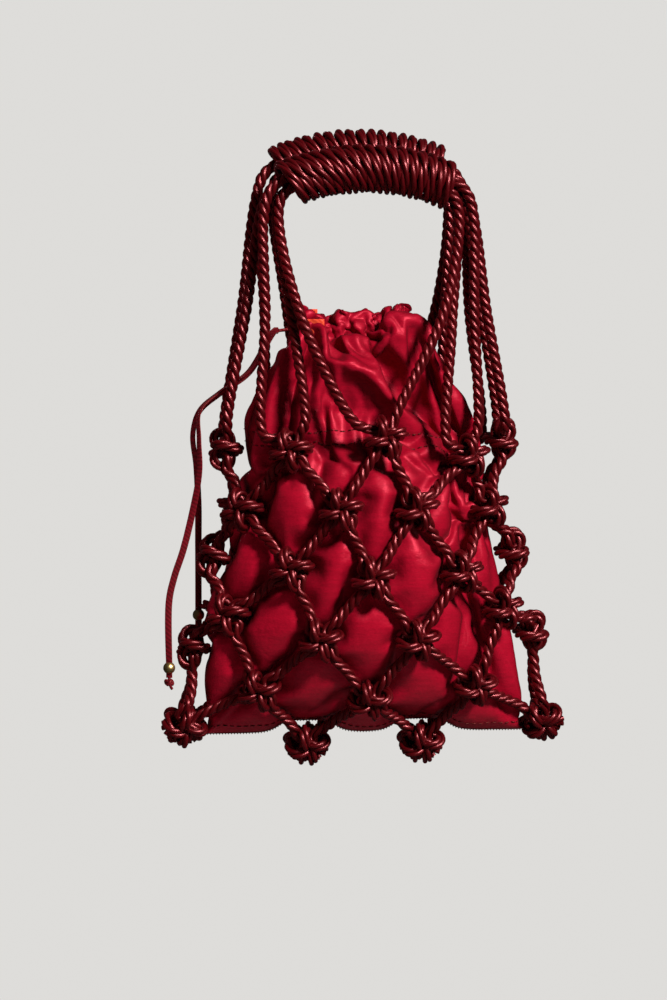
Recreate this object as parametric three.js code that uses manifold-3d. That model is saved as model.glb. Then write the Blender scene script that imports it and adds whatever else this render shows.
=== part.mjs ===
// Hand-knotted net bag with a satin drawstring pouch, two wound grips and a beaded drawstring.
// Millimetres, +Z up, front at -Y. Heights below are counted from the lowest knots;
// at the end everything moves so that the origin lies where a hand holds the grips.
import * as THREE from 'three';
import Module from 'manifold-3d';

const wasm = await Module();
wasm.setup();

// Cord
const CORD_D = 5.5; // laid cord in its straight runs
const KNOT_CORD_D = 4.0; // the same cord drawn tight in a knot
const WRAP_CORD_D = 4.2; // the same cord drawn tight round a grip
const TOUCH_GAP = 0.3; // between pieces that touch
const NET_SIDES = 5;
const KNOT_SIDES = 4; // in a bottom knot, whose cords are fused

// Pouch
const POUCH_BASE = 17; // height of the bottom seam
const POUCH_LENGTH = 208; // bottom seam to rim
const PANEL_T = 1.2;
const BASE_HALF_WIDTH = 78;
const HIP_HEIGHT = 48; // above the bottom seam
const HIP_HALF_WIDTH = 76;
const HIP_HALF_DEPTH = 28;
const BODY_HEIGHT = 112;
const BODY_HALF_WIDTH = 61;
const BODY_HALF_DEPTH = 31;
const SHOULDER_HEIGHT = 148;
const SHOULDER_HALF_WIDTH = 60;
const SHOULDER_HALF_DEPTH = 27;
const NECK_HEIGHT = 176;
const NECK_HALF_WIDTH = 55;
const NECK_HALF_DEPTH = 22;
const RIM_HALF_WIDTH = 34;
const RIM_HALF_DEPTH = 15;
const SEAM_HALF_DEPTH = 0.6; // the panels almost meet at the bottom seam
const SEAM_LIFT_SPAN = 14; // how far up the lift over a bottom knot is felt
const SWELL = 9; // how far the satin presses out where no cord holds it
const SWELL_REACH = 10; // from a cord to where the satin hardly feels it
const SWELL_CLEAR = 1.5; // left between the satin and a cord that holds it
const SWELL_RISE = 64; // the swell grows over this height above the bottom seam
const SWELL_TOP = 152; // it has ended at this height, where the facing begins
const SWELL_FALL = 24; // and falls off over this much below
const SEAM_TURN = 0.7; // share of the width where the swell begins to turn towards the side seam
const STOP_STEP = 2.5; // between places along a cord that hold the satin

// Facing, drawstring, beads
const FACING_T = 0.8;
const FACING_DEPTH = 56; // rim to the facing's lower stitching
const FACING_REACH = 0.7; // share of the panel's width that the facing covers
const FACING_GAP = 0.7; // behind the panel, below the channel
const FACING_COLUMNS = 7;
const FACING_ROWS = 5;
const DRAW_D = 1.6;
const DRAW_BELOW_RIM = 7;
const CHANNEL_H = 7;
const TAIL_STEPS = 13;
const LOOP_STEPS = 22;
const SLOT_W = 4; // split of the left side seam at the channel
const TAB_L = 8;
const TAB_H = 11;
const TAB_T = 0.8;
const BEAD_D = 6;
const STOPPER_D = 4;
const SHORT_BEAD_H = 75;
const LONG_BEAD_H = 51;

// Net: heights of the five knot rows, at the middle of a panel and at the side seams
const ROW_MIDDLE_H = [161, 130, 97.5, 67.5, 40.5];
const ROW_SIDE_H = [161, 130, 105, 87, 62];
const COLUMNS = 8;
// Hand-tied unevenness: how far each knot of a row lies to the right and up, left side first
const KNOT_EASE = [
  [[0, -2.4], [2, -3], [4.6, 2.8], [6.3, -5.6], [0, 2]],
  [[-4, -2], [5.4, 0], [-2, 0], [2.6, -0.5]],
  [[0, -2], [6, 1.5], [-1.1, -0.8], [-2.6, -0.7], [0, 0.5]],
  [[-1.6, -1.5], [0.6, 0.2], [-5, 0], [-0.5, 1]],
  [[0, -3], [-4, -0.5], [-0.7, 0.5], [2, 1], [0, 3]],
];
const BOTTOM_MIDDLE_X = 29;
const BOTTOM_MIDDLE_H = 10;
const BOTTOM_CORNER_H = 20;
const CORNER_TURN = 24; // degrees; a corner knot turns towards the cords that reach it
const BOTTOM_TILT = 30; // degrees; the crowns of a bottom knot face down a little
const STUB_L = 3; // cut ends under the bottom knots
const SLIVER = 0.3; // facets finer than this are merged where fused cords cross

// Handles
const GRIP_H = 298; // middle of the front grip
const GRIP_RISE = 9.5; // the back grip stands higher
const GRIP_L = 86;
const GRIP_ARC_R = 105;
const WRAP_TURNS = 15;
const WRAP_STEPS = 8; // per turn
const WRAP_SLANT_START = 16; // degrees
const WRAP_SLANT_END = 2;
const GRIP_SPREAD = 3.4; // between the two grips
const LEG_BEND = 9; // drop over which a leg turns down from the grip
const LEG_BEND_OUT = 6;
const HANDLE_STEPS = 16;
const MIDDLE_BOW = 8; // a leg to the middle knot hangs outside a straight line by this

// Sizes of a crown knot, all from its cord
const BAR = 0.95 * KNOT_CORD_D; // half the distance between the two bars of one cord
const WEAVE = 0.79 * KNOT_CORD_D; // a bar rises and falls this far where it crosses
const REACH = 2.1 * KNOT_CORD_D; // a bar's end from the middle
const BACK_A = 1.45 * KNOT_CORD_D; // depth of the first cord's back bar
const BACK_B = BACK_A + KNOT_CORD_D + TOUCH_GAP;
const EXIT_ACROSS = 1.8 * KNOT_CORD_D;
const EXIT_ALONG = 2.35 * KNOT_CORD_D;
const EXIT_DEPTH = 0.75 * KNOT_CORD_D;
const LEG_DIP = BACK_B - CORD_D / 2 - TOUCH_GAP - 2; // a leg sinks towards the pouch
const NET_OFFSET = BACK_B + KNOT_CORD_D / 2 + TOUCH_GAP;
const KNOT_HALF = REACH + 0.5 * KNOT_CORD_D + 0.5;
const BOTTOM_CORNER_X = BASE_HALF_WIDTH + EXIT_ALONG + CORD_D / 2 + TOUCH_GAP;
const CROWN_HALF_GAP = 1.55 * KNOT_CORD_D; // from a bottom knot's middle to each of its crowns
const HEART_R = 1.7 * KNOT_CORD_D; // where the cords of a bottom knot are drawn together
const HEART_RISE = 0.5 * KNOT_CORD_D;

// Sizes of a grip, from the cords in it
const CORE_OFFSET = (CORD_D + TOUCH_GAP) / 2;
const CORE_R = CORE_OFFSET * Math.SQRT2 + CORD_D / 2;
const WRAP_SAG = 1 / Math.cos(Math.PI / WRAP_STEPS);
const WRAP_R = (CORE_R + TOUCH_GAP + WRAP_CORD_D / 2) * WRAP_SAG;
const GRIP_HALF_Y = WRAP_R + WRAP_CORD_D / 2 + GRIP_SPREAD / 2;
const HOLD_H = GRIP_H - WRAP_R - WRAP_CORD_D / 2; // under the grips, where the fingers carry

const CORD_COLOUR = 0x5a0b18;
const SATIN_COLOUR = 0xa30f26;
const RIBBON_COLOUR = 0x7c0a18;
const TAB_COLOUR = 0xd23a22;
const GOLD_COLOUR = 0xc79a3a;

const V = (x, y, z) => new THREE.Vector3(x, y, z);

// A closed tube through rings at the given points, each with its own radius.
function tube(points, radii, sides) {
  const rings = points.length;
  const positions = [];
  const index = [];
  let normal = null;
  for (let i = 0; i < rings; i += 1) {
    const before = points[Math.max(i - 1, 0)];
    const after = points[Math.min(i + 1, rings - 1)];
    const here = points[i];
    const into = here.clone().sub(before).normalize();
    const out = after.clone().sub(here).normalize();
    const tangent = into.add(out).normalize();
    if (!normal) {
      const away = Math.abs(tangent.z) < 0.8 ? V(0, 0, 1) : V(1, 0, 0);
      normal = away.cross(tangent).normalize();
    }
    normal.addScaledVector(tangent, -normal.dot(tangent)).normalize();
    const side = tangent.clone().cross(normal);
    for (let j = 0; j < sides; j += 1) {
      const turn = (2 * Math.PI * j) / sides;
      const p = here.clone();
      p.addScaledVector(normal, radii[i] * Math.cos(turn));
      p.addScaledVector(side, radii[i] * Math.sin(turn));
      positions.push(p.x, p.y, p.z);
    }
  }
  for (let i = 0; i < rings - 1; i += 1) {
    for (let j = 0; j < sides; j += 1) {
      const a = i * sides + j;
      const b = i * sides + ((j + 1) % sides);
      index.push(a, b, a + sides, b, b + sides, a + sides);
    }
  }
  for (let j = 1; j < sides - 1; j += 1) {
    const last = (rings - 1) * sides;
    index.push(0, j + 1, j);
    index.push(last, last + j, last + j + 1);
  }
  return closed(positions, index);
}

function closed(positions, index) {
  const geometry = new THREE.BufferGeometry();
  geometry.setAttribute('position', new THREE.Float32BufferAttribute(positions, 3));
  geometry.setIndex(index);
  geometry.computeVertexNormals();
  return geometry;
}

function toSolid(geometry) {
  const points = geometry.attributes.position.array;
  const mesh = new wasm.Mesh({
    numProp: 3,
    vertProperties: Float32Array.from(points),
    triVerts: Uint32Array.from(geometry.index.array),
  });
  mesh.merge();
  return new wasm.Manifold(mesh);
}

function fromSolid(solid) {
  const mesh = solid.getMesh();
  return closed(Array.from(mesh.vertProperties), Array.from(mesh.triVerts));
}

function smooth(t) {
  const s = Math.min(Math.max(t, 0), 1);
  return s * s * (3 - 2 * s);
}

// Value of a soft profile at a height: [height, value] stops joined by even curves.
function along(stops, h) {
  const last = stops.length - 1;
  let i = 0;
  while (i < last - 1 && h > stops[i + 1][0]) i += 1;
  const slope = (n) => {
    const a = stops[Math.max(n - 1, 0)];
    const b = stops[Math.min(n + 1, last)];
    return (b[1] - a[1]) / (b[0] - a[0]);
  };
  const [h0, v0] = stops[i];
  const [h1, v1] = stops[i + 1];
  const span = h1 - h0;
  const t = Math.min(Math.max((h - h0) / span, 0), 1);
  const m0 = slope(i) * span;
  const m1 = slope(i + 1) * span;
  const t2 = t * t;
  const t3 = t2 * t;
  return (2 * t3 - 3 * t2 + 1) * v0 + (t3 - 2 * t2 + t) * m0 + (3 * t2 - 2 * t3) * v1 + (t3 - t2) * m1;
}

const WIDTH_STOPS = [
  [0, BASE_HALF_WIDTH],
  [HIP_HEIGHT, HIP_HALF_WIDTH],
  [BODY_HEIGHT, BODY_HALF_WIDTH],
  [SHOULDER_HEIGHT, SHOULDER_HALF_WIDTH],
  [NECK_HEIGHT, NECK_HALF_WIDTH],
  [POUCH_LENGTH, RIM_HALF_WIDTH],
];
const DEPTH_STOPS = [
  [0, SEAM_HALF_DEPTH],
  [HIP_HEIGHT, HIP_HALF_DEPTH],
  [BODY_HEIGHT, BODY_HALF_DEPTH],
  [SHOULDER_HEIGHT, SHOULDER_HALF_DEPTH],
  [NECK_HEIGHT, NECK_HALF_DEPTH],
  [POUCH_LENGTH, RIM_HALF_DEPTH],
];

const halfWidth = (h) => along(WIDTH_STOPS, h);
const halfDepth = (h) => along(DEPTH_STOPS, h);

// The bottom seam rides up over the two middle knots.
function seamLift(x) {
  const rise = BOTTOM_MIDDLE_H + KNOT_HALF + KNOT_CORD_D / 2 + TOUCH_GAP - POUCH_BASE;
  const off = (Math.abs(x) - BOTTOM_MIDDLE_X) / (KNOT_HALF + KNOT_CORD_D);
  return rise / (1 + off ** 6);
}

// A point of the pouch: f runs -1 to 1 across the panel, h up from the bottom seam,
// inset counts inwards from the outer face, and side is -1 in front and 1 at the back.
function pouchPoint(f, h, inset, side) {
  const x = f * halfWidth(h);
  const out = halfDepth(h) * (1 - f * f) + TOUCH_GAP / 2 + PANEL_T - inset;
  const z = POUCH_BASE + h + seamLift(x) * Math.exp(-h / SEAM_LIFT_SPAN);
  return V(x, side * out, z);
}

// A thin curved sheet with an outer and an inner face and closed edges.
function sheet(columns, rows, outer, inner, flip) {
  const positions = [];
  const index = [];
  const at = (layer, i, j) => (layer * (rows + 1) + j) * (columns + 1) + i;
  for (const face of [outer, inner]) {
    for (let j = 0; j <= rows; j += 1) {
      for (let i = 0; i <= columns; i += 1) {
        const p = face(i / columns, j / rows);
        positions.push(p.x, p.y, p.z);
      }
    }
  }
  const quad = (a, b, c, d) => {
    if (flip) index.push(a, c, b, a, d, c);
    else index.push(a, b, c, a, c, d);
  };
  for (let j = 0; j < rows; j += 1) {
    for (let i = 0; i < columns; i += 1) {
      const ring = [[i, j], [i + 1, j], [i + 1, j + 1], [i, j + 1]];
      if ((i + j) % 2) ring.push(ring.shift());
      const [a, b, c, d] = ring;
      quad(...[a, b, c, d].map(([m, n]) => at(0, m, n)));
      quad(...[a, d, c, b].map(([m, n]) => at(1, m, n)));
    }
    quad(at(0, 0, j), at(0, 0, j + 1), at(1, 0, j + 1), at(1, 0, j));
    quad(at(0, columns, j), at(1, columns, j), at(1, columns, j + 1), at(0, columns, j + 1));
  }
  for (let i = 0; i < columns; i += 1) {
    quad(at(0, i, 0), at(1, i, 0), at(1, i + 1, 0), at(0, i + 1, 0));
    quad(at(0, i, rows), at(0, i + 1, rows), at(1, i + 1, rows), at(1, i, rows));
  }
  return closed(positions, index);
}

const DRAW_H = POUCH_LENGTH - DRAW_BELOW_RIM; // above the bottom seam

// Outward direction of a panel, which turns towards the side at the side seams.
function panelOut(f, h, side) {
  const near = 0.01;
  const acrossWay = pouchPoint(f + near, h, 0, side).sub(pouchPoint(f - near, h, 0, side));
  const upWay = pouchPoint(f, h + 1, 0, side).sub(pouchPoint(f, h - 1, 0, side));
  const out = acrossWay.cross(upWay).normalize().multiplyScalar(-side);
  const turned = smooth((Math.abs(f) - SEAM_TURN) / (1 - SEAM_TURN));
  return out.lerp(V(Math.sign(f), 0, 0), turned).normalize();
}

// How far the satin presses out at a point before the cords of the net hold it back.
function swellAt(base, out, netStops) {
  let room = SWELL;
  for (const { at, r } of netStops) {
    const away = at.clone().sub(base);
    const above = away.dot(out);
    const aside = Math.sqrt(Math.max(away.lengthSq() - above * above, 0));
    const eased = SWELL * (1 - Math.exp(-((aside / SWELL_REACH) ** 2)));
    if (above > 0) room = Math.min(room, above - r - SWELL_CLEAR + eased);
  }
  return room;
}

const middle = (a, b) => ({ f: (a.f + b.f) / 2, h: (a.h + b.h) / 2 });

// A list with the middle of each two neighbours put between them.
function refined(list, between) {
  return list.flatMap((item, i) => (i ? [between(list[i - 1], item), item] : [item]));
}

// The panel's facets follow the net: knots, middles of cords and middles of gaps are corners.
function panelPlaces() {
  const steps = Array.from({ length: COLUMNS + 1 }, (_, i) => i / 2);
  const level = (h) => steps.map((step) => ({ f: widthShare(step), h }));
  const knotRows = ROW_MIDDLE_H.map((_, row) => steps.map((step) => rowPlace(row, step))).reverse();
  const coarse = [level(0), ...knotRows, level(NECK_HEIGHT), level(POUCH_LENGTH)];
  const rows = coarse.map((row) => refined(row, middle));
  return refined(rows, (low, high) => low.map((place, i) => middle(place, high[i])));
}

function pouchPanel(side, netStops) {
  const places = panelPlaces();
  const rows = places.length - 1;
  const columns = places[0].length - 1;
  const swelled = places.map((row) => row.map(({ f, h }) => {
    const out = panelOut(f, h, side);
    const room = swellAt(pouchPoint(f, h, 0, side), out, netStops);
    const swell = Math.min(room, room * smooth(h / SWELL_RISE)) * smooth((SWELL_TOP - h) / SWELL_FALL);
    return { f, h, shift: out.multiplyScalar(swell) };
  }));
  const face = (inset) => (s, t) => {
    const { f, h, shift } = swelled[Math.round(t * rows)][Math.round(s * columns)];
    return pouchPoint(f, h, inset, side).add(shift);
  };
  const whole = sheet(columns, rows, face(0), face(PANEL_T), side > 0);
  const slotFloor = POUCH_BASE + DRAW_H - CHANNEL_H / 2;
  const slotX = -halfWidth(DRAW_H) + SLOT_W;
  const slot = wasm.Manifold.cube([BASE_HALF_WIDTH, 4 * RIM_HALF_DEPTH, POUCH_LENGTH]);
  const placed = slot.translate([slotX - BASE_HALF_WIDTH, -2 * RIM_HALF_DEPTH, slotFloor]);
  return fromSolid(toSolid(whole).subtract(placed));
}

// The facing lies close behind the panel and stands off it along the drawstring's channel.
function facingInset(h) {
  const channel = DRAW_D + TOUCH_GAP;
  const fromChannel = Math.abs(h - DRAW_H) - CHANNEL_H / 2;
  return PANEL_T + FACING_GAP + channel * smooth(1 - fromChannel / CHANNEL_H);
}

function facing(side) {
  const start = POUCH_LENGTH - FACING_DEPTH;
  const face = (inset) => (s, t) => {
    const h = start + t * FACING_DEPTH;
    return pouchPoint((2 * s - 1) * FACING_REACH, h, facingInset(h) + inset, side);
  };
  return sheet(FACING_COLUMNS, FACING_ROWS, face(0), face(FACING_T), side > 0);
}

// Where the drawstring lies in the channel, at a share of the panel's width.
function channelPoint(f, side) {
  return pouchPoint(f, DRAW_H, PANEL_T + TOUCH_GAP + DRAW_D / 2, side);
}

// Share of the panel's width for a place round the net, 0 at the left side and 4 at the right.
function widthShare(place) {
  return -0.6 * Math.cos((Math.PI * place) / 4) - 0.4 * (1 - place / 2);
}

// A knot's share of the panel's width, and its height above the bottom seam.
function knotPlace(row, step) {
  const evenShare = widthShare(step);
  const [right, raised] = KNOT_EASE[row][Math.floor(step)];
  const z = ROW_MIDDLE_H[row] + (ROW_SIDE_H[row] - ROW_MIDDLE_H[row]) * evenShare ** 4 + raised;
  const h = z - POUCH_BASE;
  return { f: evenShare + right / halfWidth(h), h };
}

// A place on a row: a knot, the middle between two knots, or the side seam beyond the last one.
function rowPlace(row, step) {
  if ((2 * step) % 2 === row % 2) return knotPlace(row, step);
  if (step === 0 || step === COLUMNS / 2) return { f: widthShare(step), h: ROW_SIDE_H[row] - POUCH_BASE };
  return middle(knotPlace(row, step - 0.5), knotPlace(row, step + 0.5));
}

// The place and directions of a knot: across towards the next column, up, and out.
function knotFrame(row, column) {
  const place = ((column % COLUMNS) + COLUMNS) % COLUMNS;
  const side = place <= COLUMNS / 2 ? -1 : 1;
  const { f, h } = knotPlace(row, side < 0 ? place : COLUMNS - place);
  const at = (df, dh) => pouchPoint(f + df, h + dh, 0, side);
  const near = 0.01;
  let out;
  const base = at(0, 0);
  if (Math.abs(f) > 0.99) {
    const slope = (halfWidth(h + 1) - halfWidth(h - 1)) / 2;
    out = V(Math.sign(f), 0, -Math.sign(f) * slope * Math.sign(f)).normalize();
    base.y = 0;
  } else {
    const acrossWay = at(near, 0).sub(at(-near, 0));
    const upWay = at(0, 1).sub(at(0, -1));
    out = acrossWay.cross(upWay).normalize().multiplyScalar(-side);
  }
  const up = V(0, 0, 1).addScaledVector(out, -out.z).normalize();
  const across = up.clone().cross(out);
  return { centre: base.addScaledVector(out, NET_OFFSET), across, up, out };
}

function inFrame(frame, u, v, w) {
  const p = frame.centre.clone().addScaledVector(frame.across, u);
  return p.addScaledVector(frame.up, v).addScaledVector(frame.out, w);
}

// One cord's way through a crown knot: in at the top, down over the face, round behind,
// and down over the face again. The second cord takes the same way a quarter turn on,
// with its back bar behind the first one's.
function knotPass(frame, second) {
  const back = second ? BACK_B : BACK_A;
  const half = [
    [EXIT_ACROSS, EXIT_ALONG, -EXIT_DEPTH],
    [BAR, BAR, -WEAVE],
    [BAR, -BAR, WEAVE],
    [0.85 * BAR, -REACH, 0.1 * KNOT_CORD_D],
    [0.3 * BAR, -REACH + 0.5 * KNOT_CORD_D, -back],
  ];
  const otherHalf = half.map(([u, v, w]) => [-u, -v, w]).reverse();
  const way = [...half, ...otherHalf];
  return way.map(([u, v, w]) => (second ? inFrame(frame, -v, u, w) : inFrame(frame, u, v, w)));
}

const LEG_R = CORD_D / 2;
const KNOT_R = KNOT_CORD_D / 2;
const EXIT_R = (LEG_R + KNOT_R) / 2;

function passRadii(count) {
  return Array.from({ length: count }, (_, i) => (i === 0 || i === count - 1 ? EXIT_R : KNOT_R));
}

// Two points straight on from where a cord comes into a knot, just clear of it.
function leadIn(way) {
  const lead = way[0].clone().sub(way[1]).normalize();
  const start = way[0].clone().addScaledVector(lead, TOUCH_GAP);
  return [start, start.clone().addScaledVector(lead, CORD_D)];
}

// A bottom knot is two crowns back to back, one for the front cords and one for the back ones.
const BOTTOM_PLACES = [
  { name: 'left_corner', x: -BOTTOM_CORNER_X, z: BOTTOM_CORNER_H, turn: CORNER_TURN },
  { name: 'left', x: -BOTTOM_MIDDLE_X, z: BOTTOM_MIDDLE_H, turn: 0 },
  { name: 'right', x: BOTTOM_MIDDLE_X, z: BOTTOM_MIDDLE_H, turn: 0 },
  { name: 'right_corner', x: BOTTOM_CORNER_X, z: BOTTOM_CORNER_H, turn: -CORNER_TURN },
];

function bottomFrame(place, side) {
  const tilt = THREE.MathUtils.degToRad(BOTTOM_TILT);
  const out = V(0, side * Math.cos(tilt), -Math.sin(tilt));
  const up = V(0, side * Math.sin(tilt), Math.cos(tilt));
  up.applyAxisAngle(out, THREE.MathUtils.degToRad(side * place.turn));
  const centre = V(place.x, side * CROWN_HALF_GAP, place.z);
  return { centre, across: up.clone().cross(out), up, out };
}

function bottomKnot(place) {
  const middle = V(place.x, 0, place.z + HEART_RISE);
  let solid = wasm.Manifold.sphere(HEART_R, 8).translate(middle.toArray());
  for (const side of [-1, 1]) {
    for (const second of [false, true]) {
      const way = knotPass(bottomFrame(place, side), second);
      const last = way.length - 1;
      const half = way.length / 2 - 1;
      const cut = way[last].clone().sub(way[last - 1]).setLength(STUB_L);
      way[last].lerp(way[last - 1], 0.3).add(cut);
      for (const run of [way.slice(0, half), way.slice(-half).reverse()]) {
        run.push(middle.clone());
        solid = solid.add(toSolid(tube(run, run.map(() => KNOT_R), KNOT_SIDES)));
      }
    }
  }
  return fromSolid(solid.simplify(SLIVER));
}

// The bottom knot that a cord reaches, and its front or back crown.
function bottomFor(column) {
  const place = ((column % COLUMNS) + COLUMNS) % COLUMNS;
  const side = place < COLUMNS / 2 ? -1 : 1;
  const step = Math.floor(side < 0 ? place : COLUMNS - place);
  return bottomFrame(BOTTOM_PLACES[step], side);
}

// A net cord from its top knot to its bottom knot. First cords run down to the left,
// second cords down to the right.
function netCord(column, second) {
  const shift = second ? 0.5 : -0.5;
  const points = [];
  const radii = [];
  let before = null;
  for (let row = 0; row < ROW_MIDDLE_H.length; row += 1) {
    const frame = knotFrame(row, column + shift * row);
    if (before) addLeg(points, radii, before, frame);
    const way = knotPass(frame, second);
    points.push(...way);
    radii.push(...passRadii(way.length));
    before = frame;
  }
  const end = leadIn(knotPass(bottomFor(column + shift * ROW_MIDDLE_H.length), second));
  points.push(end[1], end[0]);
  radii.push(LEG_R, EXIT_R);
  return { points, radii };
}

// Places along a cord, close together, with the cord's radius there.
function stopsAlong(points, radii) {
  const stops = [];
  for (let i = 1; i < points.length; i += 1) {
    const count = Math.ceil(points[i].distanceTo(points[i - 1]) / STOP_STEP);
    for (let k = 0; k < count; k += 1) {
      const at = points[i - 1].clone().lerp(points[i], k / count);
      stops.push({ at, r: Math.max(radii[i - 1], radii[i]) });
    }
  }
  return stops;
}

function addLeg(points, radii, from, to) {
  const centre = from.centre.clone().lerp(to.centre, 0.5);
  const out = from.out.clone().add(to.out).normalize();
  points.push(centre.addScaledVector(out, -LEG_DIP));
  radii.push(LEG_R);
}

// The grip's middle line: a shallow arch along X.
function gripPoint(s, side) {
  const turn = s / GRIP_ARC_R;
  const top = GRIP_H + (side > 0 ? GRIP_RISE : 0);
  const x = GRIP_ARC_R * Math.sin(turn);
  const z = top - GRIP_ARC_R * (1 - Math.cos(turn));
  return { at: V(x, side * GRIP_HALF_Y, z), out: V(Math.sin(turn), 0, Math.cos(turn)) };
}

// The winding round a grip, slanted at its left end and almost upright at its right end.
function wrapPoints(side) {
  const points = [];
  const count = WRAP_TURNS * WRAP_STEPS;
  const length = GRIP_L - WRAP_CORD_D;
  for (let i = 0; i <= count; i += 1) {
    const t = i / count;
    const turn = (2 * Math.PI * i) / WRAP_STEPS - Math.PI / 2;
    const slant = THREE.MathUtils.degToRad(WRAP_SLANT_START + (WRAP_SLANT_END - WRAP_SLANT_START) * t);
    const s = (t - 0.5) * length - WRAP_R * Math.tan(slant) * Math.cos(turn) * 0.5;
    const { at, out } = gripPoint(s, side);
    at.addScaledVector(out, WRAP_R * Math.cos(turn));
    at.y += WRAP_R * Math.sin(turn) * side;
    points.push(at);
  }
  const lead = points[0].clone().sub(points[1]).setLength(WRAP_CORD_D);
  const trail = points[count].clone().sub(points[count - 1]).setLength(WRAP_CORD_D);
  return [points[0].clone().add(lead), ...points, points[count].clone().add(trail)];
}

// Least distance between turns of a winding, less the cord's thickness.
function leastGap(points, thickness) {
  let least = Infinity;
  for (let i = 0; i < points.length; i += 1) {
    for (let j = i + WRAP_STEPS - 4; j < points.length; j += 1) {
      for (const share of [0, 0.25, 0.5, 0.75]) {
        const p = points[i];
        const q = points[j].clone().lerp(points[Math.min(j + 1, points.length - 1)], share);
        least = Math.min(least, p.distanceTo(q));
      }
    }
  }
  return least - thickness;
}

// A handle cord: up from one top knot, through the grip and down to another top knot.
function handleCord(side, from, to, across, up, bow) {
  const start = cordTop(from);
  const finish = cordTop(to);
  const ends = [-1, 1];
  const legs = ends.map((end) => {
    const { at } = gripPoint((end * GRIP_L) / 2, side);
    const bend = V(end * (LEG_BEND_OUT + up), across, up - LEG_BEND).add(at);
    return bend;
  });
  const core = [-0.5, -0.25, 0, 0.25, 0.5].map((share) => {
    const { at, out } = gripPoint(share * GRIP_L, side);
    at.addScaledVector(out, up);
    at.y += across;
    return at;
  });
  const bows = [start, finish].map((end, i) => end[1].clone().lerp(legs[i], 0.5));
  bows.forEach((at, i) => at.add(V(ends[i] * bow, 0, 0)));
  const stops = [start[1], bows[0], legs[0], ...core, legs[1], bows[1], finish[1]];
  const curve = new THREE.CatmullRomCurve3(stops, false, 'centripetal');
  return [start[0], ...curve.getPoints(HANDLE_STEPS), finish[0]];
}

function cordTop({ column, second }) {
  return leadIn(knotPass(knotFrame(0, column), second));
}

const FRONT_RUNS = [
  { name: 'side', from: { column: 0, second: false }, to: { column: 4, second: true }, back: 1, top: 1 },
  { name: 'outer', from: { column: 1, second: true }, to: { column: 3, second: false }, back: -1, top: 1 },
  { name: 'inner', from: { column: 1, second: false }, to: { column: 3, second: true }, back: 1, top: -1 },
  { name: 'middle', from: { column: 2, second: true }, to: { column: 2, second: false }, back: -1, top: -1 },
];

// The back handle mirrors the front one: columns count the other way and the cords change over.
function mirrored({ column, second }) {
  return { column: COLUMNS - column, second: !second };
}

// Routes of the two drawstring tails, from the side seam's split to below the beads.
const TAIL_OUT_X = -halfWidth(DRAW_H) - SLOT_W;
const TAIL_OUT_Y = 1.7;
const DRAW_LEVEL = POUCH_BASE + DRAW_H;
const SHORT_ROUTE = [
  [-58, 1.7, 197],
  [-72, 2, 187],
  [-82, 7, 178],
  [-85, 13, 166],
  [-83, 16, 150],
  [-82, 16.5, 131],
  [-82, 16.5, 112],
];
const LONG_ROUTE = [
  [-58, -1.7, 198],
  [-72, -1.5, 188],
  [-83, -6, 178],
  [-84, -11, 164],
  [-84, -14, 149],
  [-87, -14, 131],
  [-92, -13.5, 110],
  [-96.5, -12, 96],
  [-99, -11, 84],
];

function tailPoints(route, side, beadHeight) {
  const last = route[route.length - 1];
  const start = V(TAIL_OUT_X - TOUCH_GAP, side * TAIL_OUT_Y, DRAW_LEVEL);
  const way = [
    V(TAIL_OUT_X - TOUCH_GAP - DRAW_D, side * TAIL_OUT_Y, DRAW_LEVEL),
    ...route.map(([x, y, z]) => V(x, y, z)),
  ];
  const end = V(last[0], last[1], beadHeight - BEAD_D / 2 - TOUCH_GAP - DRAW_D);
  const curve = new THREE.CatmullRomCurve3(way, false, 'centripetal');
  return [start, ...curve.getPoints(TAIL_STEPS), end];
}

function loopPoints() {
  const shares = [-1, -0.6, -0.2, 0.2, 0.6, 1].map((share) => share * (FACING_REACH + 0.05));
  const front = shares.map((f) => channelPoint(f, -1));
  const back = shares.map((f) => channelPoint(f, 1)).reverse();
  const turnX = halfWidth(DRAW_H) - SLOT_W - DRAW_D / 2;
  const way = [
    V(-turnX, -TAIL_OUT_Y, DRAW_LEVEL),
    ...front,
    V(turnX, -TAIL_OUT_Y, DRAW_LEVEL),
    V(turnX, TAIL_OUT_Y, DRAW_LEVEL),
    ...back,
    V(-turnX, TAIL_OUT_Y, DRAW_LEVEL),
  ];
  const curve = new THREE.CatmullRomCurve3(way, false, 'centripetal');
  const out = [-1, 1].map((side) => V(TAIL_OUT_X, side * TAIL_OUT_Y, DRAW_LEVEL));
  return [out[0], ...curve.getPoints(LOOP_STEPS), out[1]];
}

function evenTube(points, diameter, sides) {
  return tube(points, points.map(() => diameter / 2), sides);
}

function bead() {
  const bore = DRAW_D / 2 + TOUCH_GAP;
  const r = BEAD_D / 2;
  const lip = Math.asin(bore / r);
  const profile = [];
  const steps = 5;
  for (let i = 0; i <= steps; i += 1) {
    const turn = lip + ((Math.PI - 2 * lip) * i) / steps;
    profile.push(new THREE.Vector2(r * Math.sin(turn), -r * Math.cos(turn)));
  }
  profile.push(profile[0].clone());
  return new THREE.LatheGeometry(profile, 10).rotateX(Math.PI / 2);
}

function stopper() {
  return new THREE.SphereGeometry(STOPPER_D / 2, 6, 5).rotateX(Math.PI / 2);
}

const group = new THREE.Group();
group.name = 'knotted_net_bag';

function add(name, geometry, colour, roughness, metalness) {
  const material = new THREE.MeshStandardMaterial({ color: colour, roughness, metalness });
  const mesh = new THREE.Mesh(geometry.translate(0, 0, -HOLD_H), material);
  mesh.name = name;
  group.add(mesh);
}

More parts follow.
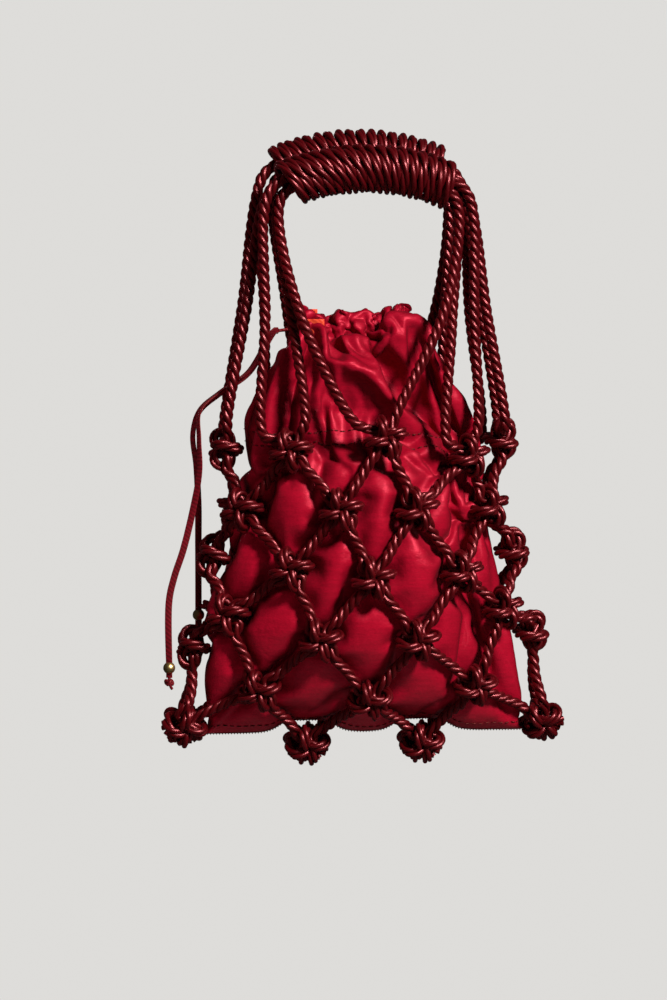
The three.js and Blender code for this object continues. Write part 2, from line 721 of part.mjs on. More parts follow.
const netStops = [];
const COLUMN_NAMES = [
  'left', 'front_left', 'front', 'front_right',
  'right', 'back_right', 'back', 'back_left',
];
for (let column = 0; column < COLUMNS; column += 1) {
  for (const second of [false, true]) {
    const { points, radii } = netCord(column, second);
    netStops.push(...stopsAlong(points, radii));
    const way = second ? 'rightward' : 'leftward';
    const geometry = tube(points, radii, NET_SIDES);
    add(`net_cord_${COLUMN_NAMES[column]}_${way}`, geometry, CORD_COLOUR, 0.4, 0);
  }
}
for (const place of BOTTOM_PLACES) {
  add(`bottom_knot_${place.name}`, bottomKnot(place), CORD_COLOUR, 0.4, 0);
}

for (const side of [-1, 1]) {
  const label = side < 0 ? 'front' : 'back';
  for (const run of FRONT_RUNS) {
    const from = side < 0 ? run.from : mirrored(run.from);
    const to = side < 0 ? run.to : mirrored(run.to);
    const bow = run.name === 'middle' ? MIDDLE_BOW : 0;
    const points = handleCord(side, from, to, -side * run.back * CORE_OFFSET, run.top * CORE_OFFSET, bow);
    add(`${label}_handle_cord_${run.name}`, evenTube(points, CORD_D, NET_SIDES), CORD_COLOUR, 0.4, 0);
  }
  const winding = wrapPoints(side);
  console.log(`${label} grip winding: least gap to itself ${leastGap(winding, WRAP_CORD_D).toFixed(2)} mm`);
  add(`${label}_grip_winding`, evenTube(winding, WRAP_CORD_D, NET_SIDES), CORD_COLOUR, 0.4, 0);
  add(`pouch_${label}_panel`, pouchPanel(side, netStops), SATIN_COLOUR, 0.3, 0);
  add(`pouch_${label}_facing`, facing(side), SATIN_COLOUR, 0.3, 0);
}

add('drawstring_loop', evenTube(loopPoints(), DRAW_D, NET_SIDES), RIBBON_COLOUR, 0.4, 0);
for (const side of [-1, 1]) {
  const short = side > 0;
  const label = short ? 'short' : 'long';
  const route = short ? SHORT_ROUTE : LONG_ROUTE;
  const height = short ? SHORT_BEAD_H : LONG_BEAD_H;
  const points = tailPoints(route, side, height);
  const end = points[points.length - 1];
  add(`drawstring_tail_${label}`, evenTube(points, DRAW_D, 8), RIBBON_COLOUR, 0.4, 0);
  add(`bead_${label}`, bead().translate(end.x, end.y, height), GOLD_COLOUR, 0.25, 1);
  const stopperZ = end.z - TOUCH_GAP - STOPPER_D / 2;
  add(`stopper_knot_${label}`, stopper().translate(end.x, end.y, stopperZ), RIBBON_COLOUR, 0.4, 0);
  const tabX = -halfWidth(DRAW_H) + SLOT_W - TOUCH_GAP - TAB_L / 2;
  const tabY = side * (TAIL_OUT_Y + DRAW_D / 2 + TOUCH_GAP + TAB_T / 2);
  const tabZ = DRAW_LEVEL - CHANNEL_H / 2 + TOUCH_GAP + TAB_H / 2;
  const tab = new THREE.BoxGeometry(TAB_L, TAB_T, TAB_H).translate(tabX, tabY, tabZ);
  add(`exit_tab_${side < 0 ? 'front' : 'back'}`, tab, TAB_COLOUR, 0.4, 0);
}

export default group;
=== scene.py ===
"""Hand-knotted net bag with a gathered satin pouch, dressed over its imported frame."""
import logging
import math
from dataclasses import dataclass, field
from enum import Enum
from typing import NamedTuple, Optional, Sequence

import bmesh
import bpy
import numpy as np
from mathutils import Matrix, Vector
from mathutils.bvhtree import BVHTree
from mathutils.kdtree import KDTree


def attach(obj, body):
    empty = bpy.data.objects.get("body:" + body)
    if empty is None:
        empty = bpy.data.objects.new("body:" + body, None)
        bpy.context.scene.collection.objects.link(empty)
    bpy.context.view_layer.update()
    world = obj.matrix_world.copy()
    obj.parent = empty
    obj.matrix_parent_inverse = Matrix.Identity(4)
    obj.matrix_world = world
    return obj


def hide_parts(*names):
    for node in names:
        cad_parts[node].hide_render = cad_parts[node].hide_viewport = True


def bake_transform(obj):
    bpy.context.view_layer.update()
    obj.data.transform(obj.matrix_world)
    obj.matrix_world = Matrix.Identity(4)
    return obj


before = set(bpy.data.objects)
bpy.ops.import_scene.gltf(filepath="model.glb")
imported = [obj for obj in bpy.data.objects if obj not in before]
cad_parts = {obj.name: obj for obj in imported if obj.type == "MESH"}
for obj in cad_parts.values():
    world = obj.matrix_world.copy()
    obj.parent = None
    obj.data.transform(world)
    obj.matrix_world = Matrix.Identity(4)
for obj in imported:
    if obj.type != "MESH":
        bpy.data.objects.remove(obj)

LOG = logging.getLogger("knotted_net_bag")

MM = 0.001
HOLD_HEIGHT = 285.887
"""Height in mm of the hand hold, the frame's origin, above the lowest knots."""

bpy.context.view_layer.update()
"""The solids' box, kept from before any piece is added."""

SPAN_POINTS = 16
"""Points worked out between two stops of a smooth line, before they are spaced evenly."""

Points = np.ndarray
Piece = bpy.types.Object
Mesh = bpy.types.Mesh
Material = bpy.types.Material
Socket = bpy.types.NodeSocket
Colour = tuple[float, float, float]


class Named(Enum):
    """Options that the frame's nodes are named after."""

    @property
    def label(self) -> str:
        """The option's name as the frame's nodes use it."""
        return self.name.lower()


class Side(Named):
    """The two faces of the bag."""

    FRONT = -1
    BACK = 1


class Strand(Named):
    """The two cords of a crown knot, by the way they run down the net."""

    LEFTWARD = 0
    RIGHTWARD = 1

    def other(self) -> "Strand":
        """The strand that crosses this one."""
        return Strand.RIGHTWARD if self is Strand.LEFTWARD else Strand.LEFTWARD


class Axes(NamedTuple):
    """A place with its directions across, up and out, in mm."""

    centre: Points
    across: Points
    up: Points
    out: Points

    def at(self, local: Sequence[Sequence[float]]) -> Points:
        """Points given as across, up and out, turned into bag points."""
        return self.centre + np.asarray(local) @ np.array([self.across, self.up, self.out])


def unit(vector: Points) -> Points:
    """The vector at length 1."""
    return vector / np.linalg.norm(vector)


def smooth(share: Points) -> Points:
    """An even ease from 0 to 1."""
    held = np.clip(share, 0.0, 1.0)
    return held * held * (3.0 - 2.0 * held)


def to_frame(points: Points) -> Points:
    """Millimetres above the lowest knots, turned into the frame's metres."""
    return (np.asarray(points, float) - (0.0, 0.0, HOLD_HEIGHT)) * MM


def soft_profile(stops: Sequence[tuple[float, float]], height: Points) -> Points:
    """A profile through height and value stops, joined by even curves.

    Args:
        stops: Pairs of height and value, lowest first.
        height: Heights to read.

    Returns:
        The values at those heights.
    """
    at = np.array([stop[0] for stop in stops], float)
    value = np.array([stop[1] for stop in stops], float)
    slope = np.empty_like(value)
    slope[1:-1] = (value[2:] - value[:-2]) / (at[2:] - at[:-2])
    slope[0] = (value[1] - value[0]) / (at[1] - at[0])
    slope[-1] = (value[-1] - value[-2]) / (at[-1] - at[-2])
    height = np.asarray(height, float)
    i = np.clip(np.searchsorted(at, height, side="left") - 1, 0, len(at) - 2)
    span = at[i + 1] - at[i]
    t = np.clip((height - at[i]) / span, 0.0, 1.0)
    ease_in, ease_out = t * (1 - t) ** 2, t * t * (t - 1)
    rise = t * t * (3 - 2 * t)
    bow = ease_in * slope[i] * span + ease_out * slope[i + 1] * span
    return value[i] * (1 - rise) + value[i + 1] * rise + bow


def smooth_line(stops: Points, step: float) -> Points:
    """A smooth line through the stops, with points an even step apart.

    Args:
        stops: Points that the line passes.
        step: Distance between the points of the result.

    Returns:
        The points of the line.
    """
    stops = np.asarray(stops, float)
    padded = np.vstack([2 * stops[0] - stops[1], stops, 2 * stops[-1] - stops[-2]])
    knots = np.concatenate([[0], np.cumsum(np.sqrt(np.linalg.norm(np.diff(padded, axis=0), axis=1)))])
    dense = []
    share = np.linspace(0, 1, SPAN_POINTS, endpoint=False)[:, None]
    for i in range(1, len(padded) - 2):
        t0, t1, t2, t3 = knots[i - 1:i + 3]
        p0, p1, p2, p3 = padded[i - 1:i + 3]
        t = t1 + share * (t2 - t1)
        a1 = (t1 - t) / (t1 - t0) * p0 + (t - t0) / (t1 - t0) * p1
        a2 = (t2 - t) / (t2 - t1) * p1 + (t - t1) / (t2 - t1) * p2
        a3 = (t3 - t) / (t3 - t2) * p2 + (t - t2) / (t3 - t2) * p3
        b1 = (t2 - t) / (t2 - t0) * a1 + (t - t0) / (t2 - t0) * a2
        b2 = (t3 - t) / (t3 - t1) * a2 + (t - t1) / (t3 - t1) * a3
        dense.append((t2 - t) / (t2 - t1) * b1 + (t - t1) / (t2 - t1) * b2)
    line = np.vstack(dense + [stops[-1:]])
    length = run_length(line)[-1]
    count = max(int(round(length / step)), 2)
    return points_along(line, np.linspace(0, length, count + 1))


def run_length(line: Points) -> Points:
    """Distance along a line at each of its points."""
    return np.concatenate([[0], np.cumsum(np.linalg.norm(np.diff(line, axis=0), axis=1))])


def points_along(line: Points, places: Points) -> Points:
    """Points of a line at given distances along it."""
    run = run_length(line)
    return np.column_stack([np.interp(places, run, line[:, axis]) for axis in range(3)])


def carried_frames(line: Points) -> tuple[Points, Points]:
    """Directions carried along a line without twist.

    Args:
        line: Points of the line.

    Returns:
        Two directions square to the line and to each other, at each point.
    """
    tangent = np.gradient(line, axis=0)
    tangent /= np.linalg.norm(tangent, axis=1)[:, None]
    normal = np.empty_like(tangent)
    away = np.array([0.0, 1.0, 0.0]) if abs(tangent[0, 1]) < 0.8 else np.array([1.0, 0.0, 0.0])
    last = unit(away - tangent[0] * (away @ tangent[0]))
    for i, way in enumerate(tangent):
        last = last - way * (last @ way)
        last /= math.sqrt(last @ last)
        normal[i] = last
    return normal, np.cross(tangent, normal)


def read_points(mesh: Mesh) -> Points:
    """All vertex places of a mesh.

    Args:
        mesh: The mesh.

    Returns:
        The places, one row each.
    """
    flat = np.empty(len(mesh.vertices) * 3, np.float32)
    mesh.vertices.foreach_get("co", flat)
    return flat.reshape(-1, 3).astype(float)


def place_points(mesh: Mesh, points: Points) -> None:
    """Move all vertices of a mesh."""
    mesh.vertices.foreach_set("co", np.asarray(points, np.float32).ravel())
    mesh.update()


def link_piece(name: str, data: bpy.types.ID, finish: Optional[Material]) -> Piece:
    """Put a mesh or curve into the scene, and report it if it is a finished piece.

    Args:
        name: Name of the piece.
        data: Its mesh or curve.
        finish: Its material, if it has one.

    Returns:
        The new object.
    """
    piece = bpy.data.objects.new(name, data)
    bpy.context.scene.collection.objects.link(piece)
    if finish is not None:
        data.materials.clear()
        data.materials.append(finish)
        LOG.info("%s: %d faces", name, len(data.polygons))
    return piece


def drop_piece(piece: Piece) -> None:
    """Remove an object and its mesh or curve.

    Args:
        piece: The object.
    """
    data = piece.data
    bpy.data.objects.remove(piece)
    if isinstance(data, Mesh):
        bpy.data.meshes.remove(data)
    elif isinstance(data, bpy.types.Curve):
        bpy.data.curves.remove(data)


def form_mesh(name: str, form: bmesh.types.BMesh) -> Mesh:
    """A mesh of a finished form, which is then let go.

    Args:
        name: Name of the mesh.
        form: The form.

    Returns:
        The mesh.
    """
    mesh = bpy.data.meshes.new(name)
    form.to_mesh(mesh)
    form.free()
    return mesh


def curve_mesh(name: str, lines: Sequence[Points], setting: str, values: Sequence[Points],
               **section: object) -> Mesh:
    """A mesh along lines, with UVs from 0 to 1 around and along each of them.

    Args:
        name: Name of the mesh.
        lines: Middle lines in mm above the lowest knots.
        setting: What changes along the lines, radius or tilt.
        values: Its value at each point of each line.
        **section: What gives the curve its section.

    Returns:
        The mesh, in the frame's metres.
    """
    curve = bpy.data.curves.new(name + "_line", "CURVE")
    curve.dimensions = "3D"
    curve.use_fill_caps = True
    for key, value in section.items():
        setattr(curve, key, value)
    for line, value in zip(lines, values):
        spline = curve.splines.new("POLY")
        spline.points.add(len(line) - 1)
        placed = np.column_stack([to_frame(line), np.ones(len(line))])
        spline.points.foreach_set("co", placed.astype(np.float32).ravel())
        spline.points.foreach_set(setting, np.asarray(value, np.float32))
        spline.use_smooth = True
    maker = link_piece(name + "_line", curve, None)
    mesh = bpy.data.meshes.new_from_object(maker)
    mesh.name = name
    drop_piece(maker)
    return mesh


def tubes(name: str, lines: Sequence[Points], radii: Sequence[Points], roundness: int) -> Mesh:
    """Round tubes along lines, as one mesh, with a radius in mm at each point."""
    return curve_mesh(name, lines, "radius", radii, bevel_depth=MM, bevel_resolution=roundness)


def even_tubes(name: str, lines: Sequence[Points], radius: float, roundness: int) -> Mesh:
    """Round tubes of one radius along lines, as one mesh."""
    return tubes(name, lines, [np.full(len(line), radius) for line in lines], roundness)


class Nodes:
    """A small helper that adds and joins shader nodes in one tree."""

    def __init__(self, tree: bpy.types.NodeTree) -> None:
        """Keep the tree that the nodes go into."""
        self.tree = tree

    def add(self, kind: str, **settings: object) -> bpy.types.Node:
        """Add a node.

        Args:
            kind: Name of the node type.
            **settings: Properties to set on the node.

        Returns:
            The new node.
        """
        node = self.tree.nodes.new(kind)
        for name, value in settings.items():
            setattr(node, name, value)
        return node

    def join(self, source: Socket, target: Socket) -> None:
        """Link an output to an input."""
        self.tree.links.new(source, target)

    def feed(self, value: object, target: Socket) -> None:
        """Link an output to an input, or set a value there.

        Args:
            value: The output, or the value.
            target: The input.
        """
        if isinstance(value, Socket):
            self.join(value, target)
        else:
            target.default_value = value

    def math(self, operation: str, first: object, second: object = 0.0) -> Socket:
        """A Math node on two values.

        Args:
            operation: The node's operation.
            first: A socket or a number.
            second: A socket or a number.

        Returns:
            The node's output.
        """
        node = self.add("ShaderNodeMath", operation=operation)
        for socket, value in zip(node.inputs, (first, second)):
            self.feed(value, socket)
        return node.outputs[0]

    def weighted(self, first: Socket, share: float, second: Socket, rest: float) -> Socket:
        """Two values added, each times its own share."""
        return self.math("ADD", self.math("MULTIPLY", first, share), self.math("MULTIPLY", second, rest))

    def spread(self, value: Socket, low: tuple, high: tuple) -> Socket:
        """A value from one range spread over another, held at the ends.

        Args:
            value: The value to spread.
            low: Where it starts and what it becomes there.
            high: Where it ends and what it becomes there.

        Returns:
            The spread value.
        """
        node = self.add("ShaderNodeMapRange", clamp=True)
        self.join(value, node.inputs["Value"])
        node.inputs["From Min"].default_value, node.inputs["To Min"].default_value = low
        node.inputs["From Max"].default_value, node.inputs["To Max"].default_value = high
        return node.outputs["Result"]

    def noise(self, vector: Socket, scale: float, detail: float) -> Socket:
        """Noise from 0 to 1 at a scale.

        Args:
            vector: The place to read it at.
            scale: Cells in one unit.
            detail: Finer layers.

        Returns:
            The noise value.
        """
        node = self.add("ShaderNodeTexNoise")
        node.inputs["Scale"].default_value = scale
        node.inputs["Detail"].default_value = detail
        self.join(vector, node.inputs["Vector"])
        return node.outputs["Fac"]

    def tint(self, share: Socket, low: object, high: object) -> Socket:
        """A colour between two others.

        Args:
            share: How far from the first to the second.
            low: Colour at 0, a socket or three numbers.
            high: Colour at 1, a socket or three numbers.

        Returns:
            The mixed colour.
        """
        node = self.add("ShaderNodeMix", data_type="RGBA")
        self.join(share, node.inputs["Factor"])
        for colour, name in ((low, "A"), (high, "B")):
            self.feed(colour if isinstance(colour, Socket) else (*colour, 1.0), node.inputs[name])
        return node.outputs["Result"]

    def stretched(self, vector: Socket, scale: tuple) -> Socket:
        """Coordinates scaled differently along each axis.

        Args:
            vector: The coordinates.
            scale: Scale along each axis.

        Returns:
            The scaled coordinates.
        """
        node = self.add("ShaderNodeMapping")
        node.inputs["Scale"].default_value = scale
        self.join(vector, node.inputs["Vector"])
        return node.outputs["Vector"]

    def bump(self, height: Socket, depth: float, strength: float) -> Socket:
        """A bumped normal from a height.

        Args:
            height: The height, 0 to 1.
            depth: What a height of 1 stands for, in metres.
            strength: Share of the bump.

        Returns:
            The normal.
        """
        node = self.add("ShaderNodeBump")
        node.inputs["Distance"].default_value = depth
        node.inputs["Strength"].default_value = strength
        self.join(height, node.inputs["Height"])
        return node.outputs["Normal"]

    def dress(self, shader: bpy.types.Node, colour: Socket, rough: Socket, normal: Socket) -> None:
        """Join a finish's colour, roughness and normal to its shader."""
        for source, name in ((colour, "Base Color"), (rough, "Roughness"), (normal, "Normal")):
            self.join(source, shader.inputs[name])


def start_finish(name: str) -> tuple[Material, Nodes, bpy.types.Node]:
    """A new material, ready for its nodes.

    Args:
        name: Name of the material.

    Returns:
        The material, its node helper and its Principled shader.
    """
    material = bpy.data.materials.new(name)
    material.use_nodes = True
    nodes = Nodes(material.node_tree)
    shader = material.node_tree.nodes["Principled BSDF"]
    return material, nodes, shader


def start_group(name: str, inputs: dict[str, float], outputs: Sequence[str]) -> Nodes:
    """A new shader node group with named sockets for numbers.

    Args:
        name: Name of the group.
        inputs: Value of each input, by its name.
        outputs: Names of the outputs.

    Returns:
        A node helper for the group's tree, with its Group Input and Output added.
    """
    tree = bpy.data.node_groups.new(name, "ShaderNodeTree")
    for label, value in inputs.items():
        socket = tree.interface.new_socket(label, in_out="INPUT", socket_type="NodeSocketFloat")
        socket.default_value = value
    for label in outputs:
        tree.interface.new_socket(label, in_out="OUTPUT", socket_type="NodeSocketFloat")
    nodes = Nodes(tree)
    nodes.add("NodeGroupInput", name="Inputs")
    nodes.add("NodeGroupOutput", name="Outputs")
    return nodes


@dataclass(frozen=True)
class FilamentGroup:
    """Fine filaments that run along a ply or a ribbon, read from its UV map."""

    name: str = "filaments_along"

    def build(self) -> bpy.types.NodeTree:
        """Make the group once, and give the same one afterwards.

        Returns:
            The group.
        """
        if self.name in bpy.data.node_groups:
            return bpy.data.node_groups[self.name]
        nodes = start_group(self.name, {"Around": 9.0, "Along": 30.0, "Slant": 2.0}, ("Height", "Shade"))
        given = nodes.tree.nodes["Inputs"].outputs
        result = nodes.tree.nodes["Outputs"].inputs
        parts = nodes.add("ShaderNodeSeparateXYZ")
        nodes.join(nodes.add("ShaderNodeUVMap", uv_map="UVMap").outputs["UV"], parts.inputs[0])
        lean = nodes.math("MULTIPLY", parts.outputs["Y"], given["Slant"])
        across = nodes.math("MULTIPLY", nodes.math("ADD", parts.outputs["X"], lean), given["Around"])
        run = nodes.math("MULTIPLY", parts.outputs["Y"], given["Along"])
        place = nodes.add("ShaderNodeCombineXYZ")
        nodes.join(across, place.inputs["X"])
        nodes.join(run, place.inputs["Y"])
        fine = nodes.noise(place.outputs["Vector"], 1.0, 3.0)
        coarse = nodes.noise(place.outputs["Vector"], 0.35, 1.0)
        nodes.join(fine, result["Height"])
        nodes.join(nodes.weighted(fine, 0.6, coarse, 0.4), result["Shade"])
        return nodes.tree

    def place(self, nodes: Nodes, around: float, along: float, slant: float) -> bpy.types.Node:
        """Put the group into a material with its own values.

        Args:
            nodes: The material's node helper.
            around: Filaments across the piece.
            along: Changes along the whole piece.
            slant: Turns of the filaments over the whole piece.

        Returns:
            The group's node.
        """
        node = nodes.add("ShaderNodeGroup", node_tree=self.build())
        for name, value in (("Around", around), ("Along", along), ("Slant", slant)):
            node.inputs[name].default_value = value
        return node


@dataclass(frozen=True)
class Lustre:
    """How threads shine: how strongly and in what tint they mirror, and their soft sheen."""

    mirror: float
    mirror_tint: Colour
    sheen: float
    sheen_tint: Colour
    sheen_roughness: float = 0.5

    def give(self, shader: bpy.types.Node) -> None:
        """Set a shader's own inputs for it.

        Args:
            shader: The shader.
        """
        for name, value in (("Specular IOR Level", self.mirror),
                            ("Specular Tint", (*self.mirror_tint, 1.0)),
                            ("Sheen Weight", self.sheen),
                            ("Sheen Roughness", self.sheen_roughness),
                            ("Sheen Tint", (*self.sheen_tint, 1.0))):
            shader.inputs[name].default_value = value


@dataclass(frozen=True)
class CordFinish:
    """Lustrous wine-red cord of fine filaments."""

    name: str
    dark: Colour = (0.011, 0.0002, 0.0005)
    lit: Colour = (0.085, 0.0008, 0.0026)
    around: float = 9.0
    along: float = 40.0
    slant: float = 14.0
    roughness: float = 0.29
    filament_depth: float = 0.0005
    filament_strength: float = 0.2
    lustre: Lustre = Lustre(1.0, (1.0, 0.27, 0.29), 0.02, (1.0, 0.3, 0.38), 0.35)

    def build(self) -> Material:
        """Make the material.

        Returns:
            The material.
        """
        material, nodes, shader = start_finish(self.name)
        filaments = FilamentGroup().place(nodes, self.around, self.along, self.slant)
        shade = filaments.outputs["Shade"]
        colour = nodes.tint(nodes.spread(shade, (0.32, 0.0), (0.68, 1.0)), self.dark, self.lit)
        rough = nodes.spread(shade, (0.3, self.roughness + 0.1), (0.7, self.roughness - 0.06))
        normal = nodes.bump(filaments.outputs["Height"], self.filament_depth, self.filament_strength)
        nodes.dress(shader, colour, rough, normal)
        self.lustre.give(shader)
        return material


@dataclass(frozen=True)
class SatinFinish:
    """Red satin with a fine float weave, a soft lustre and painted shade where the cloth turns away from the
    eye.
    """

    name: str
    dark: Colour = (0.19, 0.0013, 0.0088)
    lit: Colour = (0.3, 0.0025, 0.015)
    turned: Colour = (0.03, 0.0002, 0.0012)
    # Painted shade: the dark colour put where the cloth turns away from the eye, read from the facing angle.
    """Colour where the cloth turns away from the eye."""
    painted_shade_blend: float = 0.42
    roughness: float = 0.43
    grain: float = 0.35
    float_scale: tuple = (520.0, 900.0, 2600.0)
    slub_scale: tuple = (60.0, 120.0, 700.0)
    crease_scale: float = 190.0
    crease_depth: float = 0.0012
    crease_strength: float = 0.4
    lustre: Lustre = Lustre(0.5, (1.0, 0.1, 0.16), 0.03, (1.0, 0.22, 0.28), 0.45)

    def build(self) -> Material:
        """Make the material.

        Returns:
            The material.
        """
        material, nodes, shader = start_finish(self.name)
        place = nodes.add("ShaderNodeTexCoord").outputs["Object"]
        floats = nodes.noise(nodes.stretched(place, self.float_scale), 1.0, 2.0)
        slubs = nodes.noise(nodes.stretched(place, self.slub_scale), 1.0, 2.0)
        creases = nodes.noise(place, self.crease_scale, 3.0)
        tone = nodes.weighted(floats, 0.55, slubs, 0.45)
        # Painted shade: the satin's colour darkens towards the edges that turn away from the eye.
        facing = nodes.add("ShaderNodeLayerWeight")
        facing.inputs["Blend"].default_value = self.painted_shade_blend
        seen = nodes.tint(nodes.spread(tone, (0.3, 0.0), (0.7, 1.0)), self.dark, self.lit)
        colour = nodes.tint(facing.outputs["Facing"], seen, self.turned)
        rough = nodes.spread(tone, (0.3, self.roughness + 0.07), (0.7, self.roughness - 0.05))
        height = nodes.weighted(floats, 0.16, creases, 0.9)
        nodes.dress(shader, colour, rough, nodes.bump(height, self.crease_depth, self.crease_strength))
        shader.inputs["Anisotropic"].default_value = self.grain
        self.lustre.give(shader)
        return material


@dataclass(frozen=True)
class RibbonFinish:
    """Narrow woven ribbon with ribs across it."""

    name: str
    dark: Colour
    lit: Colour
    ribs: float = 1800.0
    rib_waver: float = 1.2
    rib_depth: float = 0.00015
    rib_strength: float = 0.5
    wear_scale: float = 420.0
    roughness: float = 0.46
    lustre: Lustre = Lustre(0.4, (1.0, 0.3, 0.25), 0.03, (1.0, 0.4, 0.35))

    def build(self) -> Material:
        """Make the material.

        Returns:
            The material.
        """
        material, nodes, shader = start_finish(self.name)
        place = nodes.add("ShaderNodeTexCoord").outputs["Object"]
        weave = nodes.add("ShaderNodeTexWave", wave_type="BANDS", bands_direction="DIAGONAL")
        weave.inputs["Scale"].default_value = self.ribs / math.tau
        weave.inputs["Distortion"].default_value = self.rib_waver
        nodes.join(place, weave.inputs["Vector"])
        ribs = weave.outputs["Fac"]
        tone = nodes.weighted(ribs, 0.35, nodes.noise(place, self.wear_scale, 2.0), 0.65)
        colour = nodes.tint(nodes.spread(tone, (0.25, 0.0), (0.7, 1.0)), self.dark, self.lit)
        rough = nodes.spread(tone, (0.2, self.roughness + 0.08), (0.8, self.roughness - 0.06))
        nodes.dress(shader, colour, rough, nodes.bump(ribs, self.rib_depth, self.rib_strength))
        self.lustre.give(shader)
        return material


@dataclass(frozen=True)
class GoldFinish:
    """Polished gold plating with faint handling marks."""

    name: str
    dark: Colour = (0.62, 0.4, 0.14)
    lit: Colour = (0.86, 0.62, 0.26)
    roughness: float = 0.34
    mark_scale: tuple = (900.0, 900.0, 3000.0)
    mark_depth: float = 0.00005
    mark_strength: float = 0.3

    def build(self) -> Material:
        """Make the material.

        Returns:
            The material.
        """
        material, nodes, shader = start_finish(self.name)
        place = nodes.add("ShaderNodeTexCoord").outputs["Object"]
        marks = nodes.noise(nodes.stretched(place, self.mark_scale), 1.0, 2.0)
        colour = nodes.tint(marks, self.dark, self.lit)
        rough = nodes.spread(marks, (0.3, self.roughness - 0.05), (0.7, self.roughness + 0.09))
        nodes.dress(shader, colour, rough, nodes.bump(marks, self.mark_depth, self.mark_strength))
        shader.inputs["Metallic"].default_value = 1.0
        return material


@dataclass(frozen=True)
class LaidCord:
    """Cord of three plies laid to the left."""

    radius: float = 2.75
    lay: float = 14.5
    plies: int = 3
    ply_share: float = 0.475
    """Radius of a ply, as a share of the cord's."""
    turn_share: float = 0.53
    """Distance of a ply from the cord's middle, as a share of its radius."""
    roundness: int = 3
    knot_ease: float = 1.1
    """How much longer a knot makes the lay, as a share of it."""

    def twist(self, line: Points, slack: Points) -> Points:
        """Turn of the plies at each point of a line.

        Args:
            line: The cord's middle line.
            slack: 0 where the cord is laid as it comes, 1 where a knot has eased the lay out.

        Returns:
            Angles in radians.
        """
        step = np.diff(run_length(line))
        lay = self.lay * (1.0 + self.knot_ease * slack)
        return -math.tau * np.concatenate([[0], np.cumsum(step / (0.5 * (lay[1:] + lay[:-1])))])

    def ply_lines(self, line: Points, slack: Points, swell: Points) -> tuple[list[Points], list[Points]]:
        """Middle lines and radii of the plies.

        Args:
            line: The cord's middle line.
            slack: Where knots ease the lay, 0 to 1.
            swell: The cord's radius at each point, as a share of its usual one.

        Returns:
            One line and one list of radii for each ply.
        """
        normal, side = carried_frames(line)
        twist = self.twist(line, slack)
        radius = self.radius * swell
        lines, radii = [], []
        for ply in range(self.plies):
            turn = twist + math.tau * ply / self.plies
            off = normal * np.cos(turn)[:, None] + side * np.sin(turn)[:, None]
            lines.append(line + off * (self.turn_share * radius)[:, None])
            radii.append(self.ply_share * radius)
        return lines, radii


@dataclass(frozen=True)
class PouchShape:
    """The pouch's plain form, as the solids have it: heights count from the bottom seam."""

    base: float = 17.0
    length: float = 208.0
    wall: float = 1.2
    half_gap: float = 0.15
    width_stops: tuple = ((0, 78), (48, 76), (112, 61), (148, 60), (176, 55), (208, 34))
    depth_stops: tuple = ((0, 0.6), (48, 28), (112, 31), (148, 27), (176, 22), (208, 15))
    lift: float = 6.2
    lift_x: float = 29.0
    lift_half: float = 14.9
    lift_span: float = 14.0

    def half_width(self, height: Points) -> Points:
        """Half the width at a height."""
        return soft_profile(self.width_stops, height)

    def half_depth(self, height: Points) -> Points:
        """Half the depth at a height, in the middle of the panel."""
        return soft_profile(self.depth_stops, height)

    def level(self, x: Points, height: Points) -> Points:
        """Heights above the lowest knots, with the bottom edge lifted over the two middle knots."""
        lift = self.lift / (1 + ((np.abs(x) - self.lift_x) / self.lift_half) ** 6)
        return self.base + height + lift * np.exp(-height / self.lift_span)

    def point(self, share: Points, height: Points, side: Side) -> Points:
        """Points of a panel's outer face.

        Args:
            share: Place across the panel, -1 to 1.
            height: Height above the bottom seam.
            side: Front or back.

        Returns:
            The points, in mm above the lowest knots.
        """
        share, height = np.broadcast_arrays(np.asarray(share, float), np.asarray(height, float))
        x = share * self.half_width(height)
        depth = self.half_depth(height) * (1 - share * share) + self.half_gap + self.wall
        return np.stack([x, side.value * depth, self.level(x, height)], axis=-1)

    def outward(self, share: Points, height: Points, side: Side) -> Points:
        """Outward directions at points of a panel.

        Args:
            share: Places across the panel, -1 to 1.
            height: Heights above the bottom seam.
            side: Front or back.

        Returns:
            Directions at length 1.
        """
        step, rise = 0.005, 0.5
        across = self.point(share + step, height, side) - self.point(share - step, height, side)
        up = self.point(share, height + rise, side) - self.point(share, height - rise, side)
        out = -side.value * np.cross(across, up)
        return out / np.linalg.norm(out, axis=-1, keepdims=True)


class CordEnd(NamedTuple):
    """A cord where it leaves the top row of knots."""

    column: int
    strand: Strand

    def mirrored(self, columns: int) -> "CordEnd":
        """The same end on the other face of the bag."""
        return CordEnd(columns - self.column, self.strand.other())


COLUMN_NAMES = ("left", "front_left", "front", "front_right", "right", "back_right", "back", "back_left")

KNOT_FACE = (
    (5.2, 9.6, -3.4),
    (3.7, 5.6, -3.8),
    (2.5, 2.5, -3.0),
    (2.0, -0.4, 0.5),
    (2.1, -3.2, 2.5),
    (2.4, -6.2, 2.4),
    (2.5, -8.4, 0.4),
)
"""One cord's way over a crown knot's face: in at the top right, under, over and round the edge."""

KNOT_BACK = {
    Strand.LEFTWARD: ((2.1, -8.8, -2.6), (1.2, -6.8, -5.0), (0.0, 0.0, -5.8)),
    Strand.RIGHTWARD: ((2.1, -9.0, -3.2), (1.2, -7.2, -8.2), (0.0, 0.0, -9.5)),
}
"""The same cord's way behind the knot, to its middle."""


